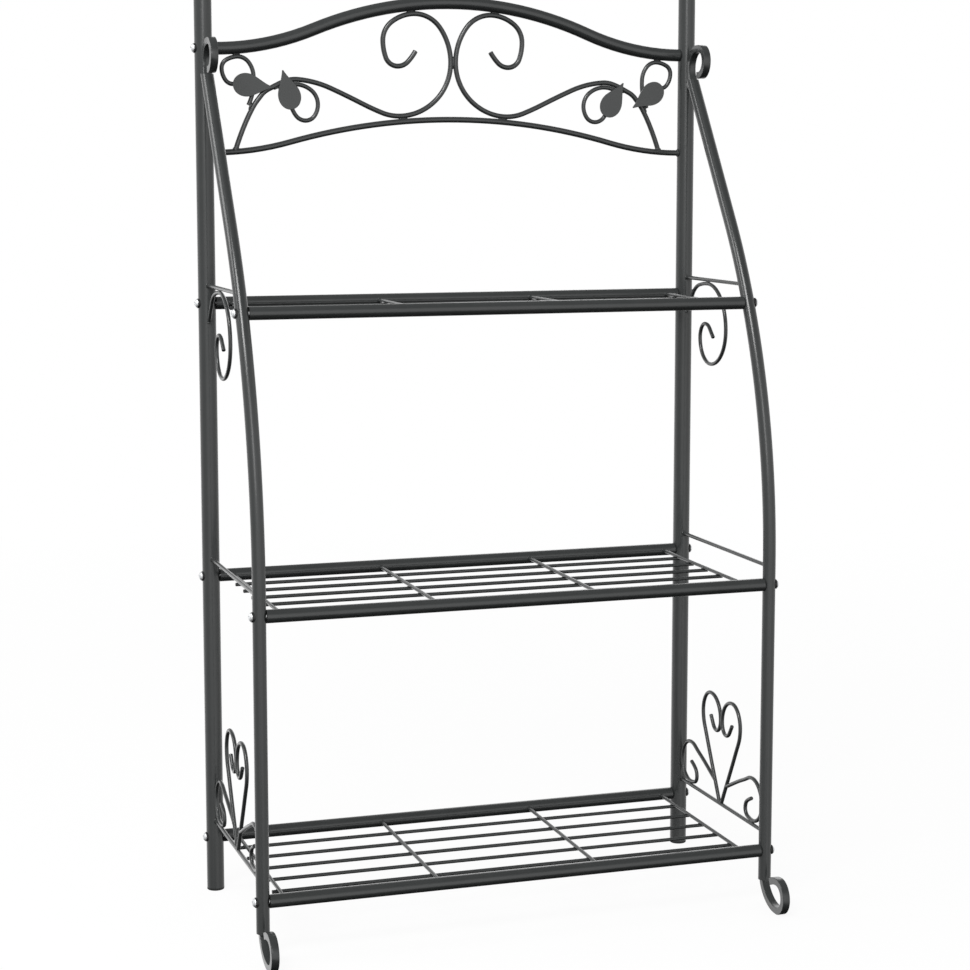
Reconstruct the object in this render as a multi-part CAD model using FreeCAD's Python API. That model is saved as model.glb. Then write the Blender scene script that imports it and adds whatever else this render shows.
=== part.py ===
import FreeCAD, Part
import math
import os

# Three-tier plant stand of steel tube and wire, in millimetres.
# +X is to the right, -Y is the front and +Z is up, with the origin on the floor under the middle.

# Posts and legs
post_spacing = 645.0  # between the axes of the two rear posts, and of the two front legs
post_diameter = 22.0
post_wall = 1.2
post_top = 1152.0  # upper end of the post tube
leg_depth = 276.0  # from the post axes forward to the upright part of the legs
leg_diameter = 16.0
leg_wall = 1.5
leg_bottom = 32.0  # lower end of the leg tube
leg_top_drop = 116.0  # from the top of the posts down to the level cut at the leg's upper end
leg_lean = 34.5  # of the straight upper part, in degrees
leg_bend_radius = 744.0

# Caps and plugs in the post ends
cap_dome_height = 6.0
plug_flange = 3.0
plug_edge = 1.0
plug_length = 16.0  # in the tube
plug_clearance = 0.2  # all round, in the tube

# Shelves
bottom_shelf_height = 69.5  # of the tube axes
middle_shelf_height = 409.0
top_shelf_drop = 398.0  # from the top of the posts
shelf_tube_diameter = 16.0
shelf_tube_wall = 1.2
shelf_wire_diameter = 4.5
long_wire_count = 5
long_wire_overhang = 7.0  # past the axes of the outer cross wires
cross_wire_inner = 102.0  # from the middle to an inner cross wire
cross_wire_end_gap = 28.5  # from the axis of a post to that of an outer cross wire

# Side panels
side_rod_diameter = 5.0
side_rod_rise = 22.5  # above the axes of the shelf tubes
side_wire_diameter = 5.0
side_clear_width = 257.0  # between post and leg, for which the wires are drawn; they stretch with it

# Scroll under the top rod: distance forward of the post, height above the rod, and heading
side_scroll_start = (0, -64, 66)
side_scroll_rise = (31, -20, 48)
side_scroll_touch = 79.0  # where it lies against the rod
side_scroll_drawing = [
    (137, -63, -90),
    (90, -109, -180),
    (56, -76, -270),
    (73, -57.5, -360),
    (98, -74, -402),
]

# Heart on the bottom rod: distance from its middle, height above the rod, and heading
heart_foot_heading = 62.0
heart_flank_drawing = [(43, 74, 62), (58.5, 113, 90), (33, 141.5, 180)]
heart_meet_height = 111.0  # where the two halves lie side by side
heart_end_drawing = [(15, 95, 360), (33.5, 112, 416)]
heart_curl_start_height = 27.5  # on the flank of the heart
heart_curl_leave = 24.0  # heading away from the flank
heart_curl_rise = [(70, 50.5, 21), (97, 59.5, 0)]
heart_curl_side_height = 31.0  # where it lies against the post or leg
heart_curl_foot_distance = 98.0  # where it lies on the rod
heart_curl_end_drawing = [(77, 16, -270), (95.5, 33, -340)]

# Back panel
rail_diameter = 16.0
rail_wall = 1.2
rail_drop = 84.0  # from the top of the posts down to the rail's axis at its ends
rail_rise = 61.5  # from the ends to the crest
rail_crest_radius = 480.0
rod_diameter = 7.5
panel_height = 127.5  # from the rail's ends down to those of the lower rod
rod_rise = 42.0
rod_crest_radius = 808.0
scroll_wire_diameter = 6.5
curl_wire_diameter = 5.6

# Scrolls of the back panel: distance from the middle, share of the height from rod to rail, and heading
panel_half_width = 311.5  # for which they are drawn; they stretch with the panel
stem_drawing = [
    (284.5, 0, 108),
    (261.5, 0.407, 119),
    (250, 0.517, 129),
    (231, 0.582, 152),
    (204, 0.58, 184),
    (121, 0.205, 206),
]
scroll_rod_touch = 66.7  # from the middle
scroll_rail_touch = 57.0
scroll_meet_share = 0.49  # where the two scrolls lie side by side
scroll_end_drawing = [(93, 0.725, -90), (75, 0.486, -176), (50, 0.6, -240)]
upper_curl_leave = 117.0  # heading away from the stem
upper_curl_drawing = [(260, 0.72, 86), (300, 0.81, -90), (283, 0.655, -195)]
upper_curl_rail_touch = 282.0
inner_curl_drawing = [(178, 0.285, 270), (194, 0.165, 360), (213, 0.36, 436)]

# Leaves: the round end's distance from the middle and share of the height, and the way the tip points
leaf_length = 49.0
leaf_width = 29.0
leaf_thickness = 2.0
leaf_tip_radius = 1.0
leaf_belly = 0.33  # share of the length where it is widest
leaf_neck = 0.76  # share of the length where it is drawn in
leaf_neck_width = 0.44  # share of the full width there
leaf_neck_turn = -30.0
leaf_tip_turn = -20.0
leaf_places = {
    "upper_leaf_left": (287, 0.658, 185),
    "upper_leaf_right": (287, 0.673, 214),
    "inner_leaf_left": (211, 0.308, 75),
    "inner_leaf_right": (206, 0.251, 59),
}

# Curls of square bar in the leg ends
bar_width = 9.5  # along X
bar_thickness = 8.8
bar_corner = 0.8
bar_tenon = 26.0  # in the tube
foot_mouth_radius = 12.0
foot_mouth_turn = 30.0
foot_run = 3.0
foot_curl_radius = 18.2
foot_return_radius = 40.0
foot_return_turn = 27.0
top_rise_radius = 25.0
top_run = 6.5
top_curl_radius = 17.3
top_return_radius = 26.0
top_return_turn = 8.0

# Bolted joints
bolt_diameter = 6.0
bolt_hole_clearance = 0.5  # on the diameter
bolt_head_diameter = 11.5
bolt_head_height = 3.5
bolt_socket_width = 4.0
bolt_socket_depth = 2.0
washer_diameter = 12.0
washer_crown = 1.2  # from the tube's surface to the washer's flat top
insert_length = 12.0
insert_clearance = 0.3  # all round, in the tube
thread_clearance = 0.2  # all round the bolt, in the insert

# Gaps
seat_gap = 0.1  # where a bolted face meets a tube
weld_gap = 0.1  # where a welded piece meets its neighbour

# Worked out from the sizes above
half_spacing = post_spacing / 2
post_radius = post_diameter / 2
leg_radius = leg_diameter / 2
tube_radius = shelf_tube_diameter / 2
rail_radius = rail_diameter / 2
rod_radius = rod_diameter / 2
scroll_radius = scroll_wire_diameter / 2
curl_radius = curl_wire_diameter / 2
side_rod_radius = side_rod_diameter / 2
side_radius = side_wire_diameter / 2
shelf_wire_radius = shelf_wire_diameter / 2
bar_half = bar_thickness / 2
sides = {"left": -1, "right": 1}
leg_top = post_top - leg_top_drop
rail_end_height = post_top - rail_drop
rod_end_height = rail_end_height - panel_height
shelf_heights = {
    "bottom": bottom_shelf_height,
    "middle": middle_shelf_height,
    "top": post_top - top_shelf_drop,
}
cross_wire_end = half_spacing - cross_wire_end_gap
side_stretch = (leg_depth - post_radius - leg_radius) / side_clear_width
heart_middle = (leg_depth + post_radius - leg_radius) / 2  # forward of the post

straight_turn = 1e-6  # an arc that turns by less is drawn as a line, in radians


def flat(u, v):
    return FreeCAD.Vector(u, v, 0)


def heading(angle):
    return flat(math.cos(math.radians(angle)), math.sin(math.radians(angle)))


# Arc, or line, that leaves start along tangent and stops at end
def arc_edge(start, tangent, end):
    chord = end - start
    half_turn = math.atan2(tangent.cross(chord).z, tangent.dot(chord))
    if abs(half_turn) < straight_turn:
        return Part.makeLine(start, end)
    left = flat(-chord.y, chord.x)
    middle = (start + end) * 0.5 - left * (0.5 * math.tan(half_turn / 2))
    return Part.Arc(start, middle, end).toShape()


# Two tangent arcs between two points with a heading at each
def biarc_edges(start, start_angle, end, end_angle):
    leave = heading(start_angle)
    arrive = heading(end_angle)
    chord = end - start
    spread = 2 * (1 - leave.dot(arrive))
    along = chord.dot(leave + arrive)
    if spread < straight_turn:
        reach = chord.dot(chord) / (2 * along)
    else:
        reach = (math.sqrt(along**2 + spread * chord.dot(chord)) - along) / spread
    first_corner = start + leave * reach
    last_corner = end - arrive * reach
    joint = (first_corner + last_corner) * 0.5
    return [arc_edge(start, leave, joint), arc_edge(joint, last_corner - first_corner, end)]


# Wire through nodes, each a point and a heading in degrees
def node_path(nodes):
    edges = []
    for (start, start_angle), (end, end_angle) in zip(nodes, nodes[1:]):
        edges += biarc_edges(start, start_angle, end, end_angle)
    return Part.Wire(edges)


# Wire of straight runs and arcs: a step is a length, or a radius and a turn to the left
def step_path(start, angle, steps):
    edges = []
    point = start
    for step in steps:
        if len(step) == 1:
            end = point + heading(angle) * step[0]
            edges.append(Part.makeLine(point, end))
        else:
            radius, turn = step
            side = heading(angle + math.copysign(90, turn)) * radius
            end = point + side - heading(angle + turn + math.copysign(90, turn)) * radius
            edges.append(arc_edge(point, heading(angle), end))
            angle += turn
        point = end
    return Part.Wire(edges)


# Solid round bar along a flat path that starts at start with this heading
def round_bar(path, start, angle, radius):
    ring = Part.Wire([Part.makeCircle(radius, start, heading(angle))])
    return path.makePipeShell([ring], True, False)


def node_bar(nodes, radius):
    return round_bar(node_path(nodes), nodes[0][0], nodes[0][1], radius)


# Turn from the drawing plane, with u to the right and v up, to the plane of the posts
upright_turn = FreeCAD.Rotation(FreeCAD.Vector(1, 0, 0), 90)


def placed(shape, place, turn):
    shape.Placement = FreeCAD.Placement(place, turn) * shape.Placement
    return shape


# On the back panel u is X and v is Z
def on_back(shape):
    return placed(shape, FreeCAD.Vector(0, post_y, 0), upright_turn)


# On a side panel u is the distance forward of the posts and v is Z
def on_side(shape, side):
    quarter = FreeCAD.Rotation(FreeCAD.Vector(0, 0, 1), -90)
    return placed(shape, FreeCAD.Vector(sides[side] * half_spacing, post_y, 0), quarter * upright_turn)


def mirrored(shape, side):
    if sides[side] > 0:
        return shape
    return shape.mirror(FreeCAD.Vector(0, 0, 0), FreeCAD.Vector(1, 0, 0))


# Cylinder along X, from one X to another
def bar_along_x(radius, x_from, x_to, y, z):
    return Part.makeCylinder(radius, x_to - x_from, FreeCAD.Vector(x_from, y, z), FreeCAD.Vector(1, 0, 0))


# Front legs: upright, then one long bend, then straight up to the post
lean = math.radians(leg_lean)
leg_top_forward = post_radius + leg_radius / math.cos(lean) + weld_gap
bend_forward = leg_bend_radius * (1 - math.cos(lean))
lean_run = (leg_depth - leg_top_forward - bend_forward) / math.sin(lean)
bend_start = leg_top - lean_run * math.cos(lean) - leg_bend_radius * math.sin(lean)
bend_end = bend_start + leg_bend_radius * math.sin(lean)


# Distance of the leg's axis forward of the posts at a height, and its lean there in degrees
def leg_at(height):
    if height <= bend_start:
        return leg_depth, 0.0
    if height <= bend_end:
        turned = math.asin((height - bend_start) / leg_bend_radius)
        return leg_depth - leg_bend_radius * (1 - math.cos(turned)), math.degrees(turned)
    return leg_top_forward + (leg_top - height) * math.tan(lean), leg_lean


# Foot curl, from the mouth of the leg down to the floor and round
foot_sweep_turn = 90 - foot_mouth_turn
mouth_drop = foot_mouth_radius * math.sin(math.radians(foot_mouth_turn))
mouth_forward = foot_mouth_radius * (1 - math.cos(math.radians(foot_mouth_turn)))
foot_sweep_radius = (leg_bottom - mouth_drop - bar_half) / (1 - math.cos(math.radians(foot_sweep_turn)))
foot_bottom = leg_depth + mouth_forward + foot_sweep_radius * math.sin(math.radians(foot_sweep_turn))
foot_front = foot_bottom + foot_run + foot_curl_radius + bar_half

# The post axes stand behind the middle of the whole depth
post_y = (foot_front - post_radius) / 2


# Round tube along a flat path, bored through
def bent_tube(path, start, angle, radius, wall):
    return round_bar(path, start, angle, radius).cut(round_bar(path, start, angle, radius - wall))


def leg_path():
    start = flat(leg_depth, leg_bottom)
    past_cut = leg_radius * math.tan(lean)
    steps = [(bend_start - leg_bottom,), (leg_bend_radius, leg_lean), (lean_run + past_cut,)]
    return step_path(start, 90, steps), start


def leg_core(grow):
    path, start = leg_path()
    return round_bar(path, start, 90, leg_radius + grow)


# Both walls of a post or leg, drilled along X for a bolt
def bolt_hole(side, y, z, radius):
    middle = sides[side] * half_spacing
    hole_radius = (bolt_diameter + bolt_hole_clearance) / 2
    return bar_along_x(hole_radius, middle - radius, middle + radius, y, z)


def front_leg(side):
    path, start = leg_path()
    leg = on_side(bent_tube(path, start, 90, leg_radius, leg_wall), side)
    corner = FreeCAD.Vector(sides[side] * half_spacing - leg_diameter, post_y - leg_depth, leg_top)
    leg = leg.cut(Part.makeBox(2 * leg_diameter, leg_depth, leg_diameter, corner))
    for height in shelf_heights.values():
        leg = leg.cut(bolt_hole(side, post_y - leg_at(height)[0], height, leg_radius))
    return leg


def rear_post(side):
    foot = FreeCAD.Vector(sides[side] * half_spacing, post_y, plug_flange)
    length = post_top - plug_flange
    post = Part.makeCylinder(post_radius, length, foot)
    post = post.cut(Part.makeCylinder(post_radius - post_wall, length, foot))
    for height in list(shelf_heights.values()) + [rail_end_height]:
        post = post.cut(bolt_hole(side, post_y, height, post_radius))
    return post


def post_core(side, grow):
    foot = FreeCAD.Vector(sides[side] * half_spacing, post_y, 0)
    return Part.makeCylinder(post_radius + grow, post_top, foot)


# Turned solid from its outline, on the axis of a post
def turned(outline, side, height):
    solid = Part.Face(Part.Wire(outline)).revolve(FreeCAD.Vector(0, 0, 0), FreeCAD.Vector(0, 0, 1), 360)
    solid.translate(FreeCAD.Vector(sides[side] * half_spacing, post_y, height))
    return solid


def turned_point(radius, height):
    return FreeCAD.Vector(radius, 0, height)


def chain_of_lines(points):
    return [Part.makeLine(start, end) for start, end in zip(points, points[1:])]


# Flange as wide as the post, on a spigot in its bore
def rear_foot_plug(side):
    spigot = post_radius - post_wall - plug_clearance
    top = plug_flange + plug_length
    axis_foot = turned_point(0, 0)
    points = [
        axis_foot,
        turned_point(post_radius - plug_edge, 0),
        turned_point(post_radius, plug_edge),
        turned_point(post_radius, plug_flange),
        turned_point(spigot, plug_flange),
        turned_point(spigot, top),
        turned_point(0, top),
        axis_foot,
    ]
    return turned(chain_of_lines(points), side, 0)


# Low dome as wide as the post, on a spigot in its bore
def post_cap(side):
    spigot = post_radius - post_wall - plug_clearance
    dome_radius = (post_radius**2 + cap_dome_height**2) / (2 * cap_dome_height)
    part_way = math.asin(post_radius / dome_radius) / 2
    dome_drop = dome_radius * (1 - math.cos(part_way))
    shoulder = turned_point(dome_radius * math.sin(part_way), cap_dome_height - dome_drop)
    crown = turned_point(0, cap_dome_height)
    rim = turned_point(post_radius, 0)
    points = [
        rim,
        turned_point(spigot, 0),
        turned_point(spigot, -plug_length),
        turned_point(0, -plug_length),
        crown,
    ]
    outline = chain_of_lines(points) + [Part.Arc(crown, shoulder, rim).toShape()]
    return turned(outline, side, post_top)


# Square bar with rounded edges along a flat path that starts at start with this heading
def square_bar(path, start, angle):
    across = heading(angle + 90)
    out = FreeCAD.Vector(0, 0, 1)
    half_width = bar_width / 2

    def spot(a, b):
        return start + across * a + out * b

    in_a = bar_half - bar_corner
    in_b = half_width - bar_corner
    bulge = bar_corner * math.sqrt(0.5)
    edges = []
    for turn_a, turn_b in ((1, 1), (-1, 1), (-1, -1), (1, -1)):
        side_a = spot(turn_a * bar_half, turn_b * in_b)
        side_b = spot(turn_a * in_a, turn_b * half_width)
        middle = spot(turn_a * (in_a + bulge), turn_b * (in_b + bulge))
        ends = [side_a, side_b] if turn_a == turn_b else [side_b, side_a]
        edges.append(Part.Arc(ends[0], middle, ends[1]).toShape())
    links = []
    for edge, following in zip(edges, edges[1:] + edges[:1]):
        links.append(edge)
        links.append(Part.makeLine(edge.Vertexes[-1].Point, following.Vertexes[0].Point))
    return path.makePipeShell([Part.Wire(links)], True, False)


def foot_curl(side):
    start = flat(leg_depth, leg_bottom + bar_tenon)
    steps = [
        (bar_tenon,),
        (foot_mouth_radius, foot_mouth_turn),
        (foot_sweep_radius, foot_sweep_turn),
        (foot_run,),
        (foot_curl_radius, 180),
        (foot_return_radius, foot_return_turn),
    ]
    return on_side(square_bar(step_path(start, -90, steps), start, -90), side)


def leg_top_curl(side):
    angle = 90 + leg_lean
    start = flat(leg_top_forward, leg_top) - heading(angle) * bar_tenon
    steps = [
        (bar_tenon,),
        (top_rise_radius, -angle),
        (top_run,),
        (top_curl_radius, -180),
        (top_return_radius, -top_return_turn),
    ]
    return on_side(square_bar(step_path(start, angle, steps), start, angle), side)


# Shelves
def shelf_depth(name):
    return leg_at(shelf_heights[name])[0]


def tube_along_x(radius, wall, half_length, y, z):
    outer = bar_along_x(radius, -half_length, half_length, y, z)
    return outer.cut(bar_along_x(radius - wall, -half_length, half_length, y, z))


def shelf_front_tube(name):
    half_length = half_spacing - leg_radius - seat_gap
    y = post_y - shelf_depth(name)
    return tube_along_x(tube_radius, shelf_tube_wall, half_length, y, shelf_heights[name])


def shelf_rear_tube(name):
    half_length = half_spacing - post_radius - seat_gap
    return tube_along_x(tube_radius, shelf_tube_wall, half_length, post_y, shelf_heights[name])


# Level with the tube axes, butted against both tubes
def shelf_cross_wires(name):
    reach = tube_radius + weld_gap
    length = shelf_depth(name) - 2 * reach
    wires = []
    for x in (-cross_wire_end, -cross_wire_inner, cross_wire_inner, cross_wire_end):
        rear = FreeCAD.Vector(x, post_y - reach, shelf_heights[name])
        wires.append(Part.makeCylinder(shelf_wire_radius, length, rear, FreeCAD.Vector(0, -1, 0)))
    return Part.makeCompound(wires)


# Under the cross wires, evenly spaced from tube to tube
def shelf_long_wires(name):
    pitch = shelf_depth(name) / (long_wire_count + 1)
    half_length = cross_wire_end + long_wire_overhang
    z = shelf_heights[name] - shelf_wire_diameter - weld_gap
    wires = []
    for index in range(long_wire_count):
        y = post_y - pitch * (index + 1)
        wires.append(bar_along_x(shelf_wire_radius, -half_length, half_length, y, z))
    return Part.makeCompound(wires)


# Side panels
def side_rod_height(name):
    return shelf_heights[name] + side_rod_rise


# From the post to the back of the leg, where it is shaped to the tube
def side_rod(name, side):
    height = side_rod_height(name)
    start = flat(post_radius + weld_gap, height)
    length = leg_at(height)[0] - start.x
    rod = round_bar(step_path(start, 0, [(length,)]), start, 0, side_rod_radius)
    return on_side(rod.cut(leg_core(weld_gap)), side)


def side_node(drawn, name):
    forward, up, angle = drawn
    return flat(forward * side_stretch, side_rod_height(name) + up), angle


# Top touching the rod, tail on the post
def side_scroll(side):
    under_rod = -side_rod_radius - side_radius - weld_gap
    drawn = [side_scroll_start, side_scroll_rise, (side_scroll_touch, under_rod, 0)] + side_scroll_drawing
    nodes = [side_node(node, "top") for node in drawn]
    scroll = on_side(node_bar(nodes, side_radius), side)
    return scroll.cut(post_core(side, weld_gap))


ways = {"front": 1, "rear": -1}


# Node of the heart's front half, or of the rear half turned about its middle
def heart_node(out, up, angle, way):
    point = flat(heart_middle + way * out, side_rod_height("bottom") + up)
    return point, angle if way > 0 else 180 - angle


def heart_stretched(drawing, way):
    return [heart_node(out * side_stretch, up, angle, way) for out, up, angle in drawing]


# Half of a heart: out and up from the rod, over the top and into a small curl at the middle
def heart_nodes(way):
    touch = side_radius + weld_gap / 2
    foot = heart_node(touch, 0, heart_foot_heading, way)
    meet = heart_node(touch, heart_meet_height, 270, way)
    flank = heart_stretched(heart_flank_drawing, way)
    return [foot] + flank + [meet] + heart_stretched(heart_end_drawing, way)


def side_rod_core(name, grow):
    start = flat(0, side_rod_height(name))
    return round_bar(step_path(start, 0, [(leg_depth,)]), start, 0, side_rod_radius + grow)


def heart_half(end, side):
    half = node_bar(heart_nodes(ways[end]), side_radius)
    return on_side(half.cut(side_rod_core("bottom", weld_gap)), side)


# From the flank of the heart out to the post or leg, down to the rod and round
def heart_curl(end, side):
    way = ways[end]
    on_rod = side_rod_radius + side_radius + weld_gap
    upright = leg_depth - leg_radius if end == "front" else post_radius
    reach = abs(upright - heart_middle) - side_radius - weld_gap
    foot, flank_top = [node[0] for node in heart_nodes(way)[:2]]
    share = heart_curl_start_height / (flank_top.y - foot.y)
    start = foot + (flank_top - foot) * share
    nodes = [(start, heart_curl_leave if way > 0 else 180 - heart_curl_leave)]
    nodes += heart_stretched(heart_curl_rise, way)
    nodes.append(heart_node(reach, heart_curl_side_height, -90, way))
    nodes += heart_stretched([(heart_curl_foot_distance, on_rod, -180)], way)
    nodes += heart_stretched(heart_curl_end_drawing, way)
    curl = node_bar(nodes, side_radius)
    flank = node_bar(heart_nodes(way)[:3], side_radius + weld_gap)
    return on_side(curl.cut(flank), side)


# Arched rail and rod of the back panel: a crest arc and two end arcs, level at the posts
arch_run = half_spacing - post_radius - seat_gap


def end_radius(rise, crest_radius):
    return (arch_run**2 + rise**2) / (2 * rise) - crest_radius


# Height of an arch's axis at x, and its slope there in degrees
def arch_at(x, end_height, rise, crest_radius):
    other_radius = end_radius(rise, crest_radius)
    turn = 2 * math.atan2(rise, arch_run)
    if abs(x) <= crest_radius * math.sin(turn):
        height = end_height + rise - crest_radius + math.sqrt(crest_radius**2 - x**2)
        return height, -math.degrees(math.asin(x / crest_radius))
    inward = arch_run - abs(x)
    height = end_height + other_radius - math.sqrt(other_radius**2 - inward**2)
    return height, -math.copysign(math.degrees(math.asin(inward / other_radius)), x)


def arch_path(end_height, rise, crest_radius):
    turn = 2 * math.degrees(math.atan2(rise, arch_run))
    other_radius = end_radius(rise, crest_radius)
    start = flat(-arch_run, end_height)
    steps = [(other_radius, turn), (crest_radius, -2 * turn), (other_radius, turn)]
    return step_path(start, 0, steps), start


def rail_at(x):
    return arch_at(x, rail_end_height, rail_rise, rail_crest_radius)


def rod_at(x):
    return arch_at(x, rod_end_height, rod_rise, rod_crest_radius)


def arch_rail():
    path, start = arch_path(rail_end_height, rail_rise, rail_crest_radius)
    return on_back(bent_tube(path, start, 0, rail_radius, rail_wall))


def lower_arch_core(grow):
    path, start = arch_path(rod_end_height, rod_rise, rod_crest_radius)
    return round_bar(path, start, 0, rod_radius + grow)


def lower_arch_rod():
    return on_back(lower_arch_core(0))


stretch = arch_run / panel_half_width


# Point at a drawn distance from the middle, at a share of the way from rod to rail
def panel_point(drawn_x, share):
    x = drawn_x * stretch
    low = rod_at(x)[0]
    return flat(x, low + share * (rail_at(x)[0] - low))


def panel_nodes(drawing):
    return [(panel_point(drawn_x, share), angle) for drawn_x, share, angle in drawing]


# Node where a wire lies against the rail's underside
def under_rail(drawn_x, wire_radius):
    height, slope = rail_at(drawn_x * stretch)
    away = rail_radius + wire_radius + weld_gap
    return flat(drawn_x * stretch, height) - heading(slope + 90) * away, slope


# Node where a wire lies on the rod, heading for the middle
def on_rod(drawn_x, wire_radius):
    height, slope = rod_at(drawn_x * stretch)
    away = rod_radius + wire_radius + weld_gap
    return flat(drawn_x * stretch, height) + heading(slope + 90) * away, slope + 180


# Stem from the rod, over a crest, down to the rod, up the middle, under the rail and into a curl
def scroll_nodes():
    meet = flat(scroll_radius + weld_gap / 2, panel_point(0, scroll_meet_share).y), 90
    nodes = panel_nodes(stem_drawing)
    nodes += [on_rod(scroll_rod_touch, scroll_radius), meet, under_rail(scroll_rail_touch, scroll_radius)]
    return nodes + panel_nodes(scroll_end_drawing)


def back_scroll(side):
    scroll = node_bar(scroll_nodes(), scroll_radius).cut(lower_arch_core(weld_gap))
    return on_back(mirrored(scroll, side))


# Node of a curl that lies beside the stem, to the left of its heading or to the right
def beside(node, way):
    point, angle = node
    return point + heading(angle + 90 * way) * (scroll_radius + curl_radius + weld_gap), angle


# Outer small curl: up from the stem, under the rail and round behind the leaf
def upper_curl(side):
    start, _ = beside(scroll_nodes()[1], -1)
    rise, *rest = panel_nodes(upper_curl_drawing)
    nodes = [(start, upper_curl_leave), rise, under_rail(upper_curl_rail_touch, curl_radius)] + rest
    return on_back(mirrored(node_bar(nodes, curl_radius), side))


# Inner small curl: under the stem's crest, down and back up behind the leaf
def inner_curl(side):
    stem, crest = scroll_nodes()[3:5]
    nodes = [beside(stem, 1), beside(crest, 1)] + panel_nodes(inner_curl_drawing)
    return on_back(mirrored(node_bar(nodes, curl_radius), side))


# Drop-shaped plate: round at one end, drawn in to a small rounded tip at the other
def leaf_outline():
    half_width = leaf_width / 2
    belly = flat(leaf_length * leaf_belly, half_width)
    neck = flat(leaf_length * leaf_neck, half_width * leaf_neck_width)
    tip = flat(leaf_length, leaf_tip_radius)
    half = node_path([(flat(0, 0), 90), (belly, 0), (neck, leaf_neck_turn), (tip, leaf_tip_turn)])
    other = half.mirror(FreeCAD.Vector(0, 0, 0), FreeCAD.Vector(0, 1, 0))
    point = flat(leaf_length + leaf_tip_radius, 0)
    nose = Part.Arc(tip, point, flat(leaf_length, -leaf_tip_radius)).toShape()
    return Part.Wire(Part.__sortEdges__(half.Edges + [nose] + other.Edges))


# In front of the wires that carry it
def leaf(name):
    drawn_x, share, angle = leaf_places[name]
    plate = Part.Face(leaf_outline()).extrude(FreeCAD.Vector(0, 0, leaf_thickness))
    plate.rotate(FreeCAD.Vector(0, 0, 0), FreeCAD.Vector(0, 0, 1), angle)
    plate.translate(panel_point(drawn_x, share) + FreeCAD.Vector(0, 0, scroll_radius + weld_gap))
    return on_back(mirrored(plate, name.split("_")[-1]))


# Bolted joints, each with its place, the radius of what is bolted and the lean of its axis
def post_joints():
    heights = list(shelf_heights.values()) + [rail_end_height]
    return [(side, post_y, height, post_radius, 0.0) for side in sides for height in heights]


def leg_joints():
    joints = []
    for side in sides:
        for height in shelf_heights.values():
            forward, leaning = leg_at(height)
            joints.append((side, post_y - forward, height, leg_radius, leaning))
    return joints


# Fastener drawn outward along X from the axis of the post or leg
def at_joint(shape, joint):
    side, y, height, _, leaning = joint
    shape = mirrored(shape, side)
    shape.rotate(FreeCAD.Vector(0, 0, 0), FreeCAD.Vector(1, 0, 0), -leaning)
    shape.translate(FreeCAD.Vector(sides[side] * half_spacing, y, height))
    return shape


def bolt(joint):
    seat = joint[3] + washer_crown + seat_gap
    shank_end = -(joint[3] + seat_gap + insert_length)
    crown = seat + bolt_head_height
    head_radius = bolt_head_diameter / 2
    dome_radius = (head_radius**2 + bolt_head_height**2) / (2 * bolt_head_height)
    dome = Part.makeSphere(dome_radius, FreeCAD.Vector(crown - dome_radius, 0, 0))
    head = bar_along_x(head_radius, seat, crown, 0, 0).common(dome)
    socket_corner = bolt_socket_width / math.sqrt(3)
    corners = []
    for index in range(7):
        around = math.radians(60 * index)
        corners.append(
            FreeCAD.Vector(crown, socket_corner * math.cos(around), socket_corner * math.sin(around))
        )
    socket = Part.Face(Part.makePolygon(corners)).extrude(FreeCAD.Vector(-bolt_socket_depth, 0, 0))
    shank = bar_along_x(bolt_diameter / 2, shank_end, seat, 0, 0)
    return at_joint(head.fuse(shank).removeSplitter().cut(socket), joint)


# Disc hollowed to sit on the round of the post or leg
def saddle_washer(joint):
    radius = joint[3]
    edge = math.sqrt(radius**2 - (washer_diameter / 2) ** 2)
    disc = bar_along_x(washer_diameter / 2, edge, radius + washer_crown, 0, 0)
    hole = bar_along_x((bolt_diameter + bolt_hole_clearance) / 2, 0, radius + washer_crown, 0, 0)
    round_length = 2 * washer_diameter
    tube = Part.makeCylinder(radius + seat_gap, round_length, FreeCAD.Vector(0, 0, -round_length / 2))
    return at_joint(disc.cut(hole).cut(tube), joint)


def tube_insert(joint, bore_radius):
    outer_end = -(joint[3] + seat_gap)
    inner_end = outer_end - insert_length
    body = bar_along_x(bore_radius - insert_clearance, inner_end, outer_end, 0, 0)
    thread = bar_along_x(bolt_diameter / 2 + thread_clearance, inner_end, outer_end, 0, 0)
    return at_joint(body.cut(thread), joint)


def tube_inserts():
    inserts = []
    for joint in post_joints() + leg_joints():
        if joint[2] == rail_end_height:
            inserts.append(tube_insert(joint, rail_radius - rail_wall))
        else:
            inserts.append(tube_insert(joint, tube_radius - shelf_tube_wall))
    return Part.makeCompound(inserts)


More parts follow.
